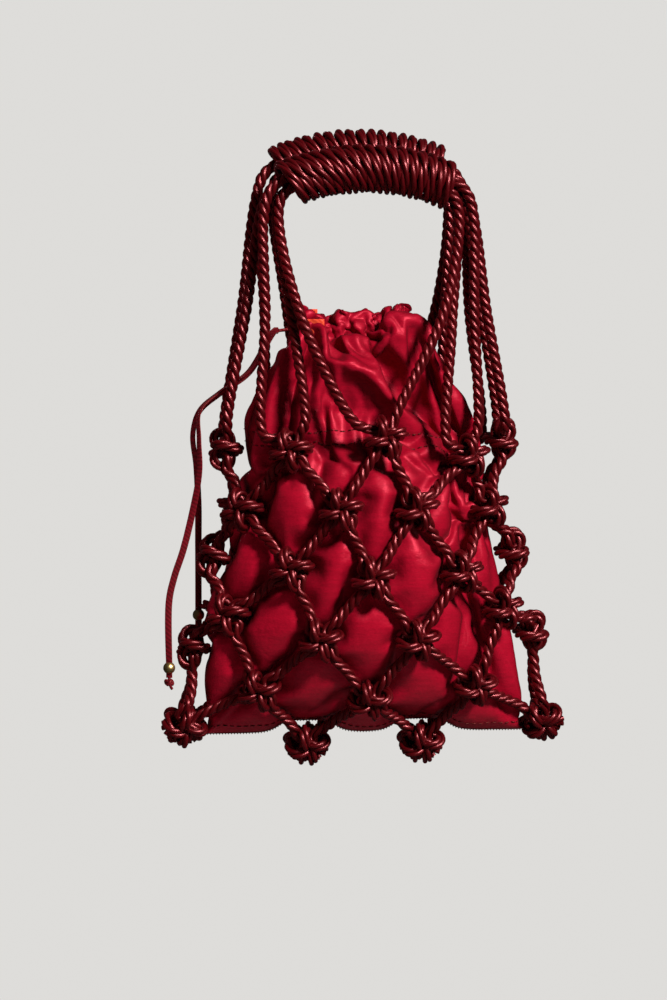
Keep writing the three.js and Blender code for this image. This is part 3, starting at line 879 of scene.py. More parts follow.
@dataclass
class Net:
    """Eight cords tied to each other in five rows of crown knots and four bottom knots."""

    shape: PouchShape
    row_middle: tuple = (161.0, 130.0, 97.5, 67.5, 40.5)
    row_side: tuple = (161.0, 130.0, 105.0, 87.0, 62.0)
    ease: tuple = (
        ((0, -2.4), (2, -3), (4.6, 2.8), (6.3, -5.6), (0, 2)),
        ((-4, -2), (5.4, 0), (-2, 0), (2.6, -0.5)),
        ((0, -2), (6, 1.5), (-1.1, -0.8), (-2.6, -0.7), (0, 0.5)),
        ((-1.6, -1.5), (0.6, 0.2), (-5, 0), (-0.5, 1)),
        ((0, -3), (-4, -0.5), (-0.7, 0.5), (2, 1), (0, 3)),
    )
    """Hand-tied unevenness: how far each knot of a row lies to the right and up, left side first."""
    columns: int = 8
    offset: float = 12.4
    spacing: tuple = (0.6, 0.4)
    """How a row's knots are spaced: the share that is even round the bag, and even across it."""
    seam_share: float = 0.99
    """Knots further out than this share of the width sit on the side seam."""
    leg_dip: float = 5.05
    dip_share: float = 0.3
    corner_x: float = 90.45
    corner_height: float = 20.0
    corner_turn: float = 24.0
    middle_x: float = 29.0
    middle_height: float = 10.0
    crown_half_gap: float = 6.2
    crown_tilt: float = 30.0
    stub: float = 1.4
    stub_mix: tuple = (0.7, 0.3)
    """Where a stub starts, as shares of the cord's last two stops."""
    end_reach: float = 11.2
    end_depth: float = 3.6
    step: float = 1.3
    bottom_names: tuple = ("bottom_knot_left_corner", "bottom_knot_left", "bottom_knot_right",
                           "bottom_knot_right_corner")
    knot_reach: float = 10.5
    """How far from a knot's middle its cords count as drawn into it."""
    knot_fade: float = 6.0

    def knot_axes(self, row: int, column: float) -> Axes:
        """Place and directions of a crown knot.

        Args:
            row: Row, counted from the top.
            column: Place round the bag, 0 at the left side seam and 4 at the right one.

        Returns:
            The knot's axes.
        """
        place = column % self.columns
        side = Side.FRONT if place <= self.columns / 2 else Side.BACK
        front_place = place if side is Side.FRONT else self.columns - place
        round_share, flat_share = self.spacing
        even = -round_share * math.cos(math.pi * front_place / 4) - flat_share * (1 - front_place / 2)
        right, raised = self.ease[row][math.floor(front_place)]
        middle, edge = self.row_middle[row], self.row_side[row]
        height = middle + (edge - middle) * even ** 4 + raised - self.shape.base
        share = even + right / float(self.shape.half_width(height))
        base = self.shape.point(share, height, side)
        if abs(share) > self.seam_share:
            slope = (self.shape.half_width(height + 1) - self.shape.half_width(height - 1)) / 2
            out = unit(np.array([math.copysign(1, share), 0.0, -float(slope)]))
            base[1] = 0.0
        else:
            out = self.shape.outward(share, height, side)
        up = unit(np.array([0.0, 0.0, 1.0]) - out * out[2])
        return Axes(base + out * self.offset, np.cross(up, out), up, out)

    def bottom_axes(self, column: float) -> Axes:
        """Place and directions of the bottom crown that a cord reaches.

        Args:
            column: Place round the bag, as for a crown knot.

        Returns:
            The crown's axes.
        """
        place = column % self.columns
        side = -1 if place < self.columns / 2 else 1
        step = math.floor(place if side < 0 else self.columns - place)
        x = (-self.corner_x, -self.middle_x, self.middle_x, self.corner_x)[step]
        height = self.corner_height if step in (0, 3) else self.middle_height
        turn = (self.corner_turn, 0.0, 0.0, -self.corner_turn)[step]
        tilt = math.radians(self.crown_tilt)
        out = Vector((0.0, side * math.cos(tilt), -math.sin(tilt)))
        up = Vector((0.0, side * math.sin(tilt), math.cos(tilt)))
        up.rotate(Matrix.Rotation(math.radians(side * turn), 3, out))
        up, out = np.array(up), np.array(out)
        return Axes(np.array([x, side * self.crown_half_gap, height]), np.cross(up, out), up, out)

    def knot_way(self, axes: Axes, strand: Strand) -> Points:
        """Stops of one cord on its way through a crown knot.

        Args:
            axes: The knot.
            strand: Which of its two cords.

        Returns:
            The stops, top first.
        """
        half = np.array(KNOT_FACE + KNOT_BACK[strand])
        way = np.vstack([half, half[-2::-1] * (-1, -1, 1)])
        if strand is Strand.RIGHTWARD:
            way = way[:, (1, 0, 2)] * (-1, 1, 1)
        return axes.at(way)

    def run_stops(self, end: CordEnd) -> Points:
        """Stops of a cord from the top row down to its cut end under a bottom knot.

        Args:
            end: The cord's place in the top row.

        Returns:
            The stops, top first.
        """
        shift = 0.5 if end.strand is Strand.RIGHTWARD else -0.5
        rows = len(self.row_middle)
        knots = [self.knot_axes(row, end.column + shift * row) for row in range(rows)]
        knots.append(self.bottom_axes(end.column + shift * rows))
        ways = [self.knot_way(axes, end.strand) for axes in knots]
        for above, below, upper, lower in zip(knots, knots[1:], ways, ways[1:]):
            upper[-1] = self.turned_end(above, below.centre)
            lower[0] = self.turned_end(below, above.centre)
        cut = unit(ways[-1][-1] - ways[-1][-2]) * self.stub
        ways[-1][-1] = ways[-1][-1] * self.stub_mix[0] + ways[-1][-2] * self.stub_mix[1] + cut
        stops = [ways[0]]
        for above, below, way in zip(knots, knots[1:], ways[1:]):
            dip = unit(above.out + below.out) * self.leg_dip
            stops.append((0.5 * (stops[-1][-1] + way[0]) - self.dip_share * dip)[None])
            stops.append(way)
        return np.vstack(stops)

    def turned_end(self, axes: Axes, neighbour: Points) -> Points:
        """Where a cord leaves a knot on its straight way to a neighbour.

        Args:
            axes: The knot.
            neighbour: Middle of the knot that the cord runs to.

        Returns:
            A point at the knot's edge, a little behind its middle.
        """
        away = neighbour - axes.centre
        flat = np.array([away @ axes.across, away @ axes.up])
        flat *= self.end_reach / np.linalg.norm(flat)
        return axes.at([(flat[0], flat[1], -self.end_depth)])[0]

    def knot_middles(self) -> Points:
        """Middles of all knots, the bottom crowns among them.

        Returns:
            The middles, one row each.
        """
        rows = [self.knot_axes(row, column + 0.5 * (row % 2)).centre
                for row in range(len(self.row_middle)) for column in range(self.columns)]
        crowns = [self.bottom_axes(column + 0.25).centre for column in range(self.columns)]
        return np.array(rows + crowns)

    def drawn(self, line: Points) -> Points:
        """How far each point of a line is drawn into a knot, 0 to 1."""
        gap = np.linalg.norm(line[:, None] - self.knot_middles()[None], axis=2).min(axis=1)
        return smooth((self.knot_reach + self.knot_fade / 2 - gap) / self.knot_fade)


class CordRun(NamedTuple):
    """One of the bag's cords, from its cut end up through a handle and down to its other cut end."""

    side: Side
    label: str
    left: CordEnd
    right: CordEnd
    line: Points
    cuts: list


@dataclass
class Handles:
    """Two handles of four cords, each wound with one more cord to make its grip."""

    net: Net
    cord: LaidCord
    grip_height: float = 298.0
    grip_rise: float = 9.5
    grip_length: float = 86.0
    arc_radius: float = 105.0
    half_gap: float = 13.813
    core_offset: float = 2.9
    bend_drop: float = 9.0
    bend_out: float = 6.0
    middle_bow: float = 8.0
    wrap_radius: float = 10.05
    wrap_length: float = 91.0
    wrap_turns: int = 18
    wrap_points: int = 10
    """Stops to one turn of a winding."""
    wrap_cord: LaidCord = field(default_factory=lambda: LaidCord(radius=2.5, lay=42.0))
    slant_left: float = 27.0
    slant_right: float = 3.0
    slant_ease: float = 1.1
    first_slant: tuple = (0.45, 0.55)
    """Share of the left slant in the first turn, and what the next turns add to it."""
    first_span: float = 0.24
    swell: float = 1.02
    squeeze: float = 0.07
    """How much thinner a knot draws a cord, as a share of its radius."""
    hinge_height: float = 169.887
    blend_span: float = 40.0
    runs: list = field(default_factory=list)

    RUNS = (
        ("side", CordEnd(0, Strand.LEFTWARD), CordEnd(4, Strand.RIGHTWARD), 1, 1),
        ("outer", CordEnd(1, Strand.RIGHTWARD), CordEnd(3, Strand.LEFTWARD), -1, 1),
        ("inner", CordEnd(1, Strand.LEFTWARD), CordEnd(3, Strand.RIGHTWARD), 1, -1),
        ("middle", CordEnd(2, Strand.RIGHTWARD), CordEnd(2, Strand.LEFTWARD), -1, -1),
    )

    def grip_point(self, along: Points, side: Side) -> tuple[Points, Points]:
        """Points and upward directions on a grip's arched middle line.

        Args:
            along: Distances from the grip's middle.
            side: Front or back handle.

        Returns:
            The points and the directions.
        """
        turn = np.asarray(along, float) / self.arc_radius
        top = self.grip_height + (self.grip_rise if side is Side.BACK else 0.0)
        across = np.full_like(turn, side.value * self.half_gap)
        at = np.stack([self.arc_radius * np.sin(turn), across,
                       top - self.arc_radius * (1 - np.cos(turn))], axis=-1)
        return at, np.stack([np.sin(turn), np.zeros_like(turn), np.cos(turn)], axis=-1)

    def core_stops(self, start: Points, finish: Points, side: Side, across: float, up: float,
                   bow: float) -> Points:
        """Stops of a handle cord between two top knots.

        Args:
            start: Point where the cord clears its first knot.
            finish: Point where it comes to its last knot.
            side: Front or back handle.
            across: The cord's place in the grip, along Y.
            up: The cord's place in the grip, upwards.
            bow: How far its legs hang outside a straight line.

        Returns:
            The stops from start to finish.
        """
        half = self.grip_length / 2
        at, out = self.grip_point(np.linspace(-half, half, 5), side)
        core = at + out * up + (0.0, across, 0.0)
        bends = [at[i] + (end * (self.bend_out + up), across, up - self.bend_drop)
                 for i, end in ((0, -1), (-1, 1))]
        bows = [0.5 * (start + bends[0]) - (bow, 0.0, 0.0), 0.5 * (finish + bends[1]) + (bow, 0.0, 0.0)]
        return np.vstack([start, bows[0], bends[0], core, bends[1], bows[1], finish])

    def cord_runs(self) -> list[CordRun]:
        """The middle lines of the eight cords, worked out once.

        Returns:
            The cords, front handle first.
        """
        if not self.runs:
            for side in Side:
                for label, left, right, back, top in self.RUNS:
                    if side is Side.BACK:
                        left, right = left.mirrored(self.net.columns), right.mirrored(self.net.columns)
                    stops = [self.net.run_stops(end) for end in (left, right)]
                    leads = [run[0] + unit(run[0] - run[1]) * 2 * self.cord.radius for run in stops]
                    bow = self.middle_bow if label == "middle" else 0.0
                    across = -side.value * back * self.core_offset
                    middle = self.core_stops(leads[0], leads[1], side, across, top * self.core_offset, bow)
                    line = smooth_line(np.vstack([stops[0][::-1], middle, stops[1]]), self.net.step)
                    cuts = [int(np.argmin(np.linalg.norm(line - run[0], axis=1))) for run in stops]
                    self.runs.append(CordRun(side, label, left, right, line, cuts))
        return self.runs

    def dress(self, finish: Material) -> None:
        """Build the net cords and the handle cords, eight continuous cords in all.

        Args:
            finish: The cord's material.
        """
        for run in self.cord_runs():
            self.dress_cord(run, finish)
        for side in Side:
            self.dress_grip(side, finish)

    def dress_cord(self, run: CordRun, finish: Material) -> None:
        """Build one cord as two net runs and the handle run between them.

        Args:
            run: The cord.
            finish: The cord's material.
        """
        drawn = self.net.drawn(run.line)
        lines, radii = self.cord.ply_lines(run.line, drawn, self.swell - self.squeeze * drawn)
        first, last = run.cuts
        spans = (slice(0, first + 1), slice(first, last + 1), slice(last, None))
        handle = f"{run.side.label}_handle"
        names = [self.net_name(run.left), f"{handle}_cord_{run.label}", self.net_name(run.right)]
        for name, span in zip(names, spans):
            mesh = tubes(name + "_laid", [ply[span] for ply in lines],
                         [radius[span] for radius in radii], self.cord.roundness)
            piece = link_piece(name + "_laid", mesh, finish)
            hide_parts(name)
            if name.startswith("net_cord"):
                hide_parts(*self.net.bottom_names)
                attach(piece, "bag")
            else:
                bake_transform(piece)

    def net_name(self, end: CordEnd) -> str:
        """Name of the net cord that an end belongs to."""
        return f"net_cord_{COLUMN_NAMES[end.column % self.net.columns]}_{end.strand.label}"

    def wrap_line(self, side: Side) -> Points:
        """Middle line of the winding, slanted at its left end and upright at its right end.

        Args:
            side: Front or back handle.

        Returns:
            Stops of the line.
        """
        share = np.linspace(0, 1, self.wrap_turns * self.wrap_points + 1)
        turn = math.tau * self.wrap_turns * share - math.pi / 2
        left = (self.first_slant[0] + self.first_slant[1] * smooth(share / self.first_span)) * self.slant_left
        slant = np.radians(left + (self.slant_right - left) * smooth(share * self.slant_ease))
        lean = self.wrap_radius * np.tan(slant)
        half = self.wrap_length / 2 - self.wrap_cord.radius
        start, end = lean[0] - half, half - lean[-1]
        at, out = self.grip_point(start + (end - start) * share - lean * np.cos(turn), side)
        line = at + out * (self.wrap_radius * np.cos(turn))[:, None]
        line[:, 1] += self.wrap_radius * np.sin(turn) * side.value
        return line

    def dress_grip(self, side: Side, finish: Material) -> None:
        """Build one grip's winding.

        Args:
            side: Front or back handle.
            finish: The cord's material.
        """
        line = smooth_line(self.wrap_line(side), self.net.step)
        still = np.zeros(len(line))
        lines, radii = self.wrap_cord.ply_lines(line, still, still + 1.0)
        name = f"{side.label}_grip_winding"
        mesh = tubes(name + "_laid", lines, radii, self.wrap_cord.roundness)
        piece = link_piece(name + "_laid", mesh, finish)
        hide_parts(name)
        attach(piece, f"{side.label}_handle")


@dataclass
class Drape:
    """The pouch's satin settled as cloth: filled out, drawn shut at the mouth and held in by the net."""

    shape: PouchShape
    handles: Handles
    columns: int = 56
    """Steps across one panel."""
    rows: int = 90
    moments: int = 36
    enlarged: float = 10.0
    """Scene units for one metre while the cloth settles."""
    cut_length: float = 252.0
    heading: float = 13.0
    """Cloth above the drawstring's channel."""
    slack: float = 33.0
    """How far the mouth comes down while it is drawn shut."""
    right_slack: float = 17.0
    """Extra length over the right shoulder, which rolls over."""
    width_stops: tuple = ((0, 82), (14, 84), (48, 86), (112, 74), (148, 73), (176, 75), (205, 68), (245, 60))
    depth_stops: tuple = ((0, 0.3), (14, 13), (48, 37), (112, 40), (148, 36), (176, 31), (205, 22), (245, 20))
    section_points: int = 401
    section_bow: float = 2.3
    section_power: float = 0.625
    low_bow: float = 0.5
    """How much fuller the section is at the bottom."""
    low_span: float = 60.0
    shoulder: tuple = (150.0, 70.0)
    """Where the right shoulder's extra length starts, and over how much height it grows."""
    right_ease: float = 5.0
    """Extra cloth at the right side, where the pouch hangs out more."""
    ease_span: float = 20.0
    mouth_place: tuple = (-6.0, 219.0)
    mouth_half: tuple = (26.0, 8.0)
    mouth_power: float = 0.75
    mouth_wave: float = 1.2
    mouth_drawn: float = 0.6
    """When the mouth is drawn shut, as a share of all moments."""
    pleats: int = 17
    pleat_depth: float = 2.8
    pleat_change: float = 0.3
    pleat_drift: tuple = ((1.1, 3, 0.7), (0.8, 5, 2.0))
    """What makes the pleats uneven: size, waves round the mouth and start of each drift."""
    net_open: float = 13.0
    """How far the net stands off before it closes on the pouch."""
    net_closed: float = 0.45
    """When the net has closed, as a share of all moments."""
    net_half: tuple = (80.0, 45.0)
    net_top: float = 128.0
    net_fade: float = 45.0
    """Height over which the pressure falls off above the net."""
    holder_top: float = 245.0
    holder_radius: float = 2.7
    pressure: float = 0.8
    upper_pressure: float = 0.06
    """Share of the pressure above the net."""
    stretch: float = 0.05
    bending: float = 0.01
    gravity: float = 0.75
    weight: float = 10.5

    def heights(self) -> Points:
        """Height of each row above the bottom seam, before the mouth comes down.

        Returns:
            The heights, lowest first.
        """
        cloth = np.linspace(0.0, self.cut_length, self.rows + 1)
        top = self.mouth_place[1] - self.shape.base + self.slack
        return cloth * top / (self.cut_length - self.heading)

    def channel_row(self) -> int:
        """The row in the middle of the drawstring's channel."""
        return round((1 - self.heading / self.cut_length) * self.rows)

    def filled(self) -> Points:
        """The pouch filled out with its mouth open, by row and place round it from the left seam.

        Returns:
            Points by row and place.
        """
        share = np.linspace(-1, 1, self.section_points)
        start, span = self.shoulder
        rings = []
        for height in self.heights():
            bow = self.section_bow + self.low_bow * smooth((self.low_span - height) / self.low_span)
            x = share * soft_profile(self.width_stops, height)
            x = x + self.right_ease * np.maximum(share, 0.0) * smooth(height / self.ease_span)
            y = -soft_profile(self.depth_stops, height) * (1 - np.abs(share) ** bow) ** self.section_power
            z = self.shape.level(x, height)
            z = z + self.right_slack * smooth((share + 0.1) / 0.9) * smooth((height - start) / span)
            half = np.stack([x, y if height else 0 * y, z], axis=-1)
            front = points_along(half, np.linspace(0, run_length(half)[-1], self.columns + 1))
            rings.append(np.vstack([front, front[-2:0:-1] * (1, -1, 1)]))
        return np.array(rings)

    def drawn_ring(self) -> Points:
        """The channel's row once the drawstring has pleated it.

        Returns:
            Points by place, as in a filled row.
        """
        share = np.arange(2 * self.columns) / (2 * self.columns)
        turn = math.tau * share + math.pi
        wide, deep = self.mouth_half
        out = np.stack([np.cos(turn) * deep, np.sin(turn) * wide], axis=-1)
        out /= np.linalg.norm(out, axis=1)[:, None]
        phase = math.tau * self.pleats * share
        for size, waves, start in self.pleat_drift:
            phase = phase + size * np.sin(waves * math.tau * share + start)
        deeper = 1 + self.pleat_change * np.sin(4 * math.tau * share + 1.0)
        wave = self.pleat_depth * deeper * np.sin(phase)
        x = self.mouth_place[0] + wide * np.cos(turn)
        y = deep * np.sign(np.sin(turn)) * np.abs(np.sin(turn)) ** self.mouth_power
        z = self.mouth_place[1] + self.mouth_wave * np.sin(2 * math.tau * share + 0.5)
        return np.column_stack([np.stack([x, y], axis=-1) + out * wave[:, None], z])

    def large(self, points: Points) -> Points:
        """Bag points at the size in which the cloth settles."""
        return to_frame(points) * self.enlarged

    def tube_piece(self, rings: Points) -> tuple[Piece, Points]:
        """A cloth tube sewn shut at its bottom row.

        Args:
            rings: Points by row and place round the tube.

        Returns:
            The piece, and the vertex at each row and place, with the first place once more at the end.
        """
        around = 2 * self.columns
        form = bmesh.new()
        bmesh.ops.create_grid(form, x_segments=around, y_segments=self.rows, size=1.0)
        verts = {}
        for vert in form.verts:
            row = round((0.5 + 0.5 * vert.co.y) * self.rows)
            verts[row, round((0.5 + 0.5 * vert.co.x) * around)] = vert
        for (row, place), vert in verts.items():
            vert.co = self.large(rings[row, place % around])
        sewn = {(row, around): (row, 0) for row in range(self.rows + 1)}
        sewn.update({(0, around - place): (0, place) for place in range(1, self.columns)})
        bmesh.ops.weld_verts(form, targetmap={verts[a]: verts[b] for a, b in sewn.items()})
        form.verts.index_update()
        for a, b in sewn.items():
            verts[a] = verts[b]
        index = np.array([[verts[row, place].index for place in range(around + 1)]
                          for row in range(self.rows + 1)])
        return link_piece("settling_satin", form_mesh("settling_satin", form), None), index

    def add_move(self, piece: Piece, points: Points, start: float, end: float, until: float) -> None:
        """Let a piece's points move between two places.

        Args:
            piece: The piece.
            points: Its other places.
            start: Share of the move at the first moment.
            end: Share of the move at the last one.
            until: When the move ends, as a share of all moments.
        """
        piece.shape_key_add(name="Basis")
        key = piece.shape_key_add(name="moved")
        key.data.foreach_set("co", np.asarray(points, np.float32).ravel())
        for moment, value in ((1, start), (round(self.moments * until), end)):
            key.value = value
            key.keyframe_insert("value", frame=moment)

    def holder(self) -> Piece:
        """The net and the handle cords, which close on the cloth and hold it.

        Returns:
            The cords, as one object.
        """
        lines = [run.line[run.line[:, 2] < self.holder_top][::2] for run in self.handles.cord_runs()]
        mesh = even_tubes("holding_cords", lines, self.holder_radius, 1)
        points = read_points(mesh) * self.enlarged
        place_points(mesh, points)
        piece = link_piece("holding_cords", mesh, None)
        wide, deep = self.net_half
        away = points * (1 / wide, 1 / deep, 0.0)
        away /= np.maximum(np.linalg.norm(away, axis=1, keepdims=True), 1e-6)
        self.add_move(piece, points + away * self.net_open * MM * self.enlarged, 1.0, 0.0, self.net_closed)
        piece.modifiers.new("holding", "COLLISION")
        piece.collision.thickness_outer = 0.006
        piece.collision.cloth_friction = 2.0
        return piece

    def make_cloth(self, piece: Piece, index: Points) -> None:
        """Give the tube the ways of thin satin: held at the seam and the channel, pressed from inside.

        Args:
            piece: The tube.
            index: The vertex at each row and place.
        """
        held = piece.vertex_groups.new(name="held")
        channel = self.channel_row()
        held.add([int(i) for row in (0, channel) for i in index[row]], 1.0, "REPLACE")
        pressed = piece.vertex_groups.new(name="pressed")
        for row, height in enumerate(self.heights()):
            fallen = float(smooth((height - self.net_top) / self.net_fade))
            share = 1 - (1 - self.upper_pressure) * fallen
            pressed.add([int(i) for i in index[row]], share if row <= channel else 0.0, "REPLACE")
        cloth = piece.modifiers.new("satin", "CLOTH")
        way = cloth.settings
        way.quality = 6
        way.mass = self.weight / len(piece.data.vertices)
        way.tension_stiffness = way.compression_stiffness = 20.0
        way.tension_damping = way.compression_damping = way.shear_damping = 4.0
        way.shear_stiffness = 3.0
        way.bending_stiffness = self.bending
        way.air_damping = 3.0
        way.vertex_group_mass = "held"
        way.shrink_min = -self.stretch
        way.use_pressure = True
        way.uniform_pressure_force = self.pressure
        way.vertex_group_pressure = "pressed"
        way.effector_weights.gravity = self.gravity
        touch = cloth.collision_settings
        touch.collision_quality = 3
        touch.distance_min = 0.008
        touch.use_self_collision = True
        touch.self_distance_min = 0.006
        cloth.point_cache.frame_end = self.moments

    def settle(self) -> dict:
        """Let the cloth settle.

        Returns:
            For each side, the panel's points by row and column, lowest and leftmost first.
        """
        rings = self.filled()
        piece, index = self.tube_piece(rings)
        drawn = rings.copy()
        drawn[self.channel_row()] = self.drawn_ring()
        points = np.empty((len(piece.data.vertices), 3))
        points[index[:, :-1].ravel()] = self.large(drawn).reshape(-1, 3)
        self.add_move(piece, points, 0.0, 1.0, self.mouth_drawn)
        self.make_cloth(piece, index)
        holder = self.holder()
        scene = bpy.context.scene
        for moment in range(1, self.moments + 1):
            scene.frame_set(moment)
        settled = piece.evaluated_get(bpy.context.evaluated_depsgraph_get())
        grid = (read_points(settled.to_mesh()) / self.enlarged / MM + (0.0, 0.0, HOLD_HEIGHT))[index]
        settled.to_mesh_clear()
        for used in (piece, holder):
            drop_piece(used)
        for action in list(bpy.data.actions):
            bpy.data.actions.remove(action)
        scene.frame_set(1)
        return {Side.FRONT: grid[:, :self.columns + 1], Side.BACK: grid[:, self.columns:][:, ::-1]}


@dataclass
class Pouch:
    """Satin pouch of two panels with a facing band inside the mouth, gathered and held by the net.
    """

    shape: PouchShape
    net: Net
    columns: int = 66
    rows: int = 75
    cloth: float = 0.45
    facing_share: float = 0.24
    facing_reach: float = 0.7
    facing_gap: float = 1.3
    over_cord: tuple = (3.4, 6.6, 8.5, 1.7)
    over_knot: tuple = (-0.8, 11.0, 6.5, 1.5)
    """How the still form stands out over cords and knots: least, growth, reach and power."""
    knot_half: float = 6.5
    puff_blend: float = 1.3
    puff_low: float = 24.0
    puff_top: tuple = (0.8, 150.0, 34.0)
    """Share of the puff that goes at the top, where it starts to go, and over how much height."""
    seam_zone: tuple = (0.72, 0.28)
    seam_tuck: float = 1.1
    gather_zone: tuple = (158.0, 40.0)
    gather_depth: float = 2.2
    gather_waves: tuple = (21.0, 37.0)
    stitch_levels: tuple = (163.5, 169.0)
    """Heights of the two stitch lines under the channel, in the middle of a panel."""
    channel: float = 219.0
    hem: float = 5.0
    """Distance of the hem's stitch line from the bottom edge."""
    stitch_length: float = 2.5
    stitch_gap: float = 1.0
    stitch_start: float = 1.5
    stitch_stops: tuple = ((0.0, -0.35), (0.18, 0.1), (0.5, 0.2), (0.82, 0.1), (1.0, -0.35))
    """A stitch's points: share of its length, and how far each stands out of the cloth."""
    thread: float = 0.3
    serging_step: float = 1.5
    cut_width: float = 178.0
    cut_length: float = 252.0
    faces: dict = field(default_factory=dict)

    def grid(self) -> tuple[Points, Points]:
        """Shares across and heights up, for all points of a panel.

        Returns:
            The shares and the heights, by row and column.
        """
        share = np.linspace(-1, 1, self.columns + 1)
        height = np.linspace(0, self.shape.length, self.rows + 1)
        return np.meshgrid(share, height)

    def net_gaps(self, points: Points, out: Points) -> tuple[Points, Points]:
        """Distance of each panel point from the nearest cord and the nearest knot, along the panel.

        Args:
            points: Panel points, one row each.
            out: Outward directions there.

        Returns:
            Distances from cords and from knots.
        """
        lines = [smooth_line(self.net.run_stops(CordEnd(column, strand)), 2.0)
                 for column in range(self.net.columns) for strand in Strand]
        cords = np.vstack(lines)
        cords = cords[self.net.drawn(cords) < 0.6]
        gaps = []
        for stops in (cords, self.net.knot_middles()):
            tree = KDTree(len(stops))
            for i, stop in enumerate(stops):
                tree.insert(stop, i)
            tree.balance()
            near = np.array([tree.find(point)[1] for point in points])
            away = stops[near] - points
            away -= out * np.sum(away * out, axis=1)[:, None]
            gaps.append(np.linalg.norm(away, axis=1))
        return gaps[0], gaps[1]

    def puffed(self, gap: Points, over: tuple) -> Points:
        """How far the still form stands out at a distance from what holds it."""
        least, growth, reach, power = over
        return least + growth * (1 - np.exp(-(gap / reach) ** power))

    def surface(self, side: Side) -> Points:
        """Outer face of a panel, worked out as the still form if no cloth was settled.

        Args:
            side: Front or back.

        Returns:
            Points by row and column, lowest and leftmost first.
        """
        if side in self.faces:
            return self.faces[side]
        share, height = self.grid()
        base = self.shape.point(share, height, side)
        out = self.shape.outward(share, height, side)
        start, span = self.seam_zone
        seam = smooth((np.abs(share) - start) / span)[..., None]
        out = out * (1 - seam) + seam * np.stack([np.sign(share), 0 * share, 0 * share], axis=-1)
        out /= np.linalg.norm(out, axis=-1, keepdims=True)
        base[..., 1] -= side.value * seam[..., 0] ** 3 * self.seam_tuck
        cord_gap, knot_gap = self.net_gaps(base.reshape(-1, 3), out.reshape(-1, 3))
        over_cord = self.puffed(cord_gap, self.over_cord)
        over_knot = self.puffed(np.maximum(knot_gap - self.knot_half, 0.0), self.over_knot)
        blend = self.puff_blend
        puff = -np.log(np.exp(-over_cord / blend) + np.exp(-over_knot / blend)) * blend
        puff = puff.reshape(share.shape) * smooth(height / self.puff_low)
        gone, start, span = self.puff_top
        puff = puff * (1 - gone * smooth((height - start) / span))
        puff += self.gathers(share, height)
        self.faces[side] = base + out * puff[..., None]
        return self.faces[side]

    def gathers(self, share: Points, height: Points) -> Points:
        """How far the drawn mouth's folds stand in or out.

        Args:
            share: Places across the panel, -1 to 1.
            height: Heights above the bottom seam.

        Returns:
            Distances, out of the panel.
        """
        start, span = self.gather_zone
        drawn = smooth((height - start) / span)
        wide, fine = self.gather_waves
        folds = np.cos(share * wide + 0.5 * np.sin(height * 0.06)) + 0.4 * np.cos(share * fine + 1.0)
        return self.gather_depth * drawn * folds * (1 - np.abs(share) ** 6)

    def dress(self, satin: Material, thread: Material) -> None:
        """Build panels, facings, stitches and the bottom edge.

        Args:
            satin: The satin's material.
            thread: The thread's material.
        """
        for side in Side:
            panel = self.dress_panel(side, satin)
            self.dress_facing(side, satin)
            self.dress_stitches(side, panel, thread)
        self.dress_serging(thread)

    def row_at(self, side: Side, level: float) -> Points:
        """A line across a panel, along the cloth, at a height in the panel's middle.

        Args:
            side: Front or back.
            level: The height.

        Returns:
            Points from left to right.
        """
        points = self.surface(side)
        middle = points[:, points.shape[1] // 2, 2]
        above = int(np.argmax(middle > level))
        share = (level - middle[above - 1]) / (middle[above] - middle[above - 1])
        return points[above - 1] * (1 - share) + points[above] * share

    def dress_stitches(self, side: Side, panel: Piece, thread: Material) -> None:
        """Build a panel's stitch lines: two under the channel and one along the hem.

        Args:
            side: Front or back.
            panel: The panel that is stitched.
            thread: The thread's material.
        """
        skin = BVHTree.FromObject(panel, bpy.context.evaluated_depsgraph_get())
        seam, above = self.surface(side)[0], self.surface(side)[2]
        lift = self.hem / np.linalg.norm(above - seam, axis=1)[:, None]
        rows = [self.row_at(side, level) for level in self.stitch_levels] + [seam + (above - seam) * lift]
        step = self.stitch_length + self.stitch_gap
        shares = np.array([share for share, _ in self.stitch_stops])
        outside = (0.0, 2.0 * side.value, 0.0)
        lines = []
        for row in rows:
            for start in np.arange(self.stitch_start, run_length(row)[-1] - step, step):
                laid = points_along(row, start + shares * self.stitch_length)
                lines.append(self.sewn(skin, laid + outside))
        name = f"pouch_{side.label}_stitches"
        mesh = even_tubes(name, lines, self.thread, 1)
        piece = link_piece(name, mesh, thread)
        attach(piece, "bag")

    def sewn(self, skin: BVHTree, stops: Points) -> Points:
        """A stitch laid on the cloth, with its ends drawn into it.

        Args:
            skin: The cloth's surface.
            stops: Points along the stitch, just outside the cloth.

        Returns:
            The points on the cloth.
        """
        laid = []
        for stop, (_, rise) in zip(stops, self.stitch_stops):
            near, normal, _, _ = skin.find_nearest(Vector(to_frame(stop)))
            laid.append(np.array(near + normal * rise * MM) / MM + (0.0, 0.0, HOLD_HEIGHT))
        return np.array(laid)

    def dress_serging(self, thread: Material) -> None:
        """Build the looped thread that serges the bottom edge.

        Args:
            thread: The thread's material.
        """
        seam = smooth_line(self.surface(Side.FRONT)[0], self.serging_step / 4)
        turn = np.arange(len(seam)) * math.tau / 4
        line = seam + np.column_stack([0 * turn, 0.95 * np.sin(turn), 0.9 - 1.5 * np.cos(turn)])
        mesh = even_tubes("pouch_serged_edge", [line], self.thread, 1)
        piece = link_piece("pouch_serged_edge", mesh, thread)
        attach(piece, "bag")

    def channel_row(self) -> int:
        """The row in the middle of the drawstring's channel."""
        return int(np.argmin(np.abs(self.surface(Side.FRONT)[:, 0, 2] - self.channel)))

    def mouth_line(self, row: int) -> Points:
        """A closed line round the pouch along one row, from the left seam over the front."""
        front, back = self.surface(Side.FRONT)[row], self.surface(Side.BACK)[row]
        return np.vstack([front, back[-2:0:-1]])

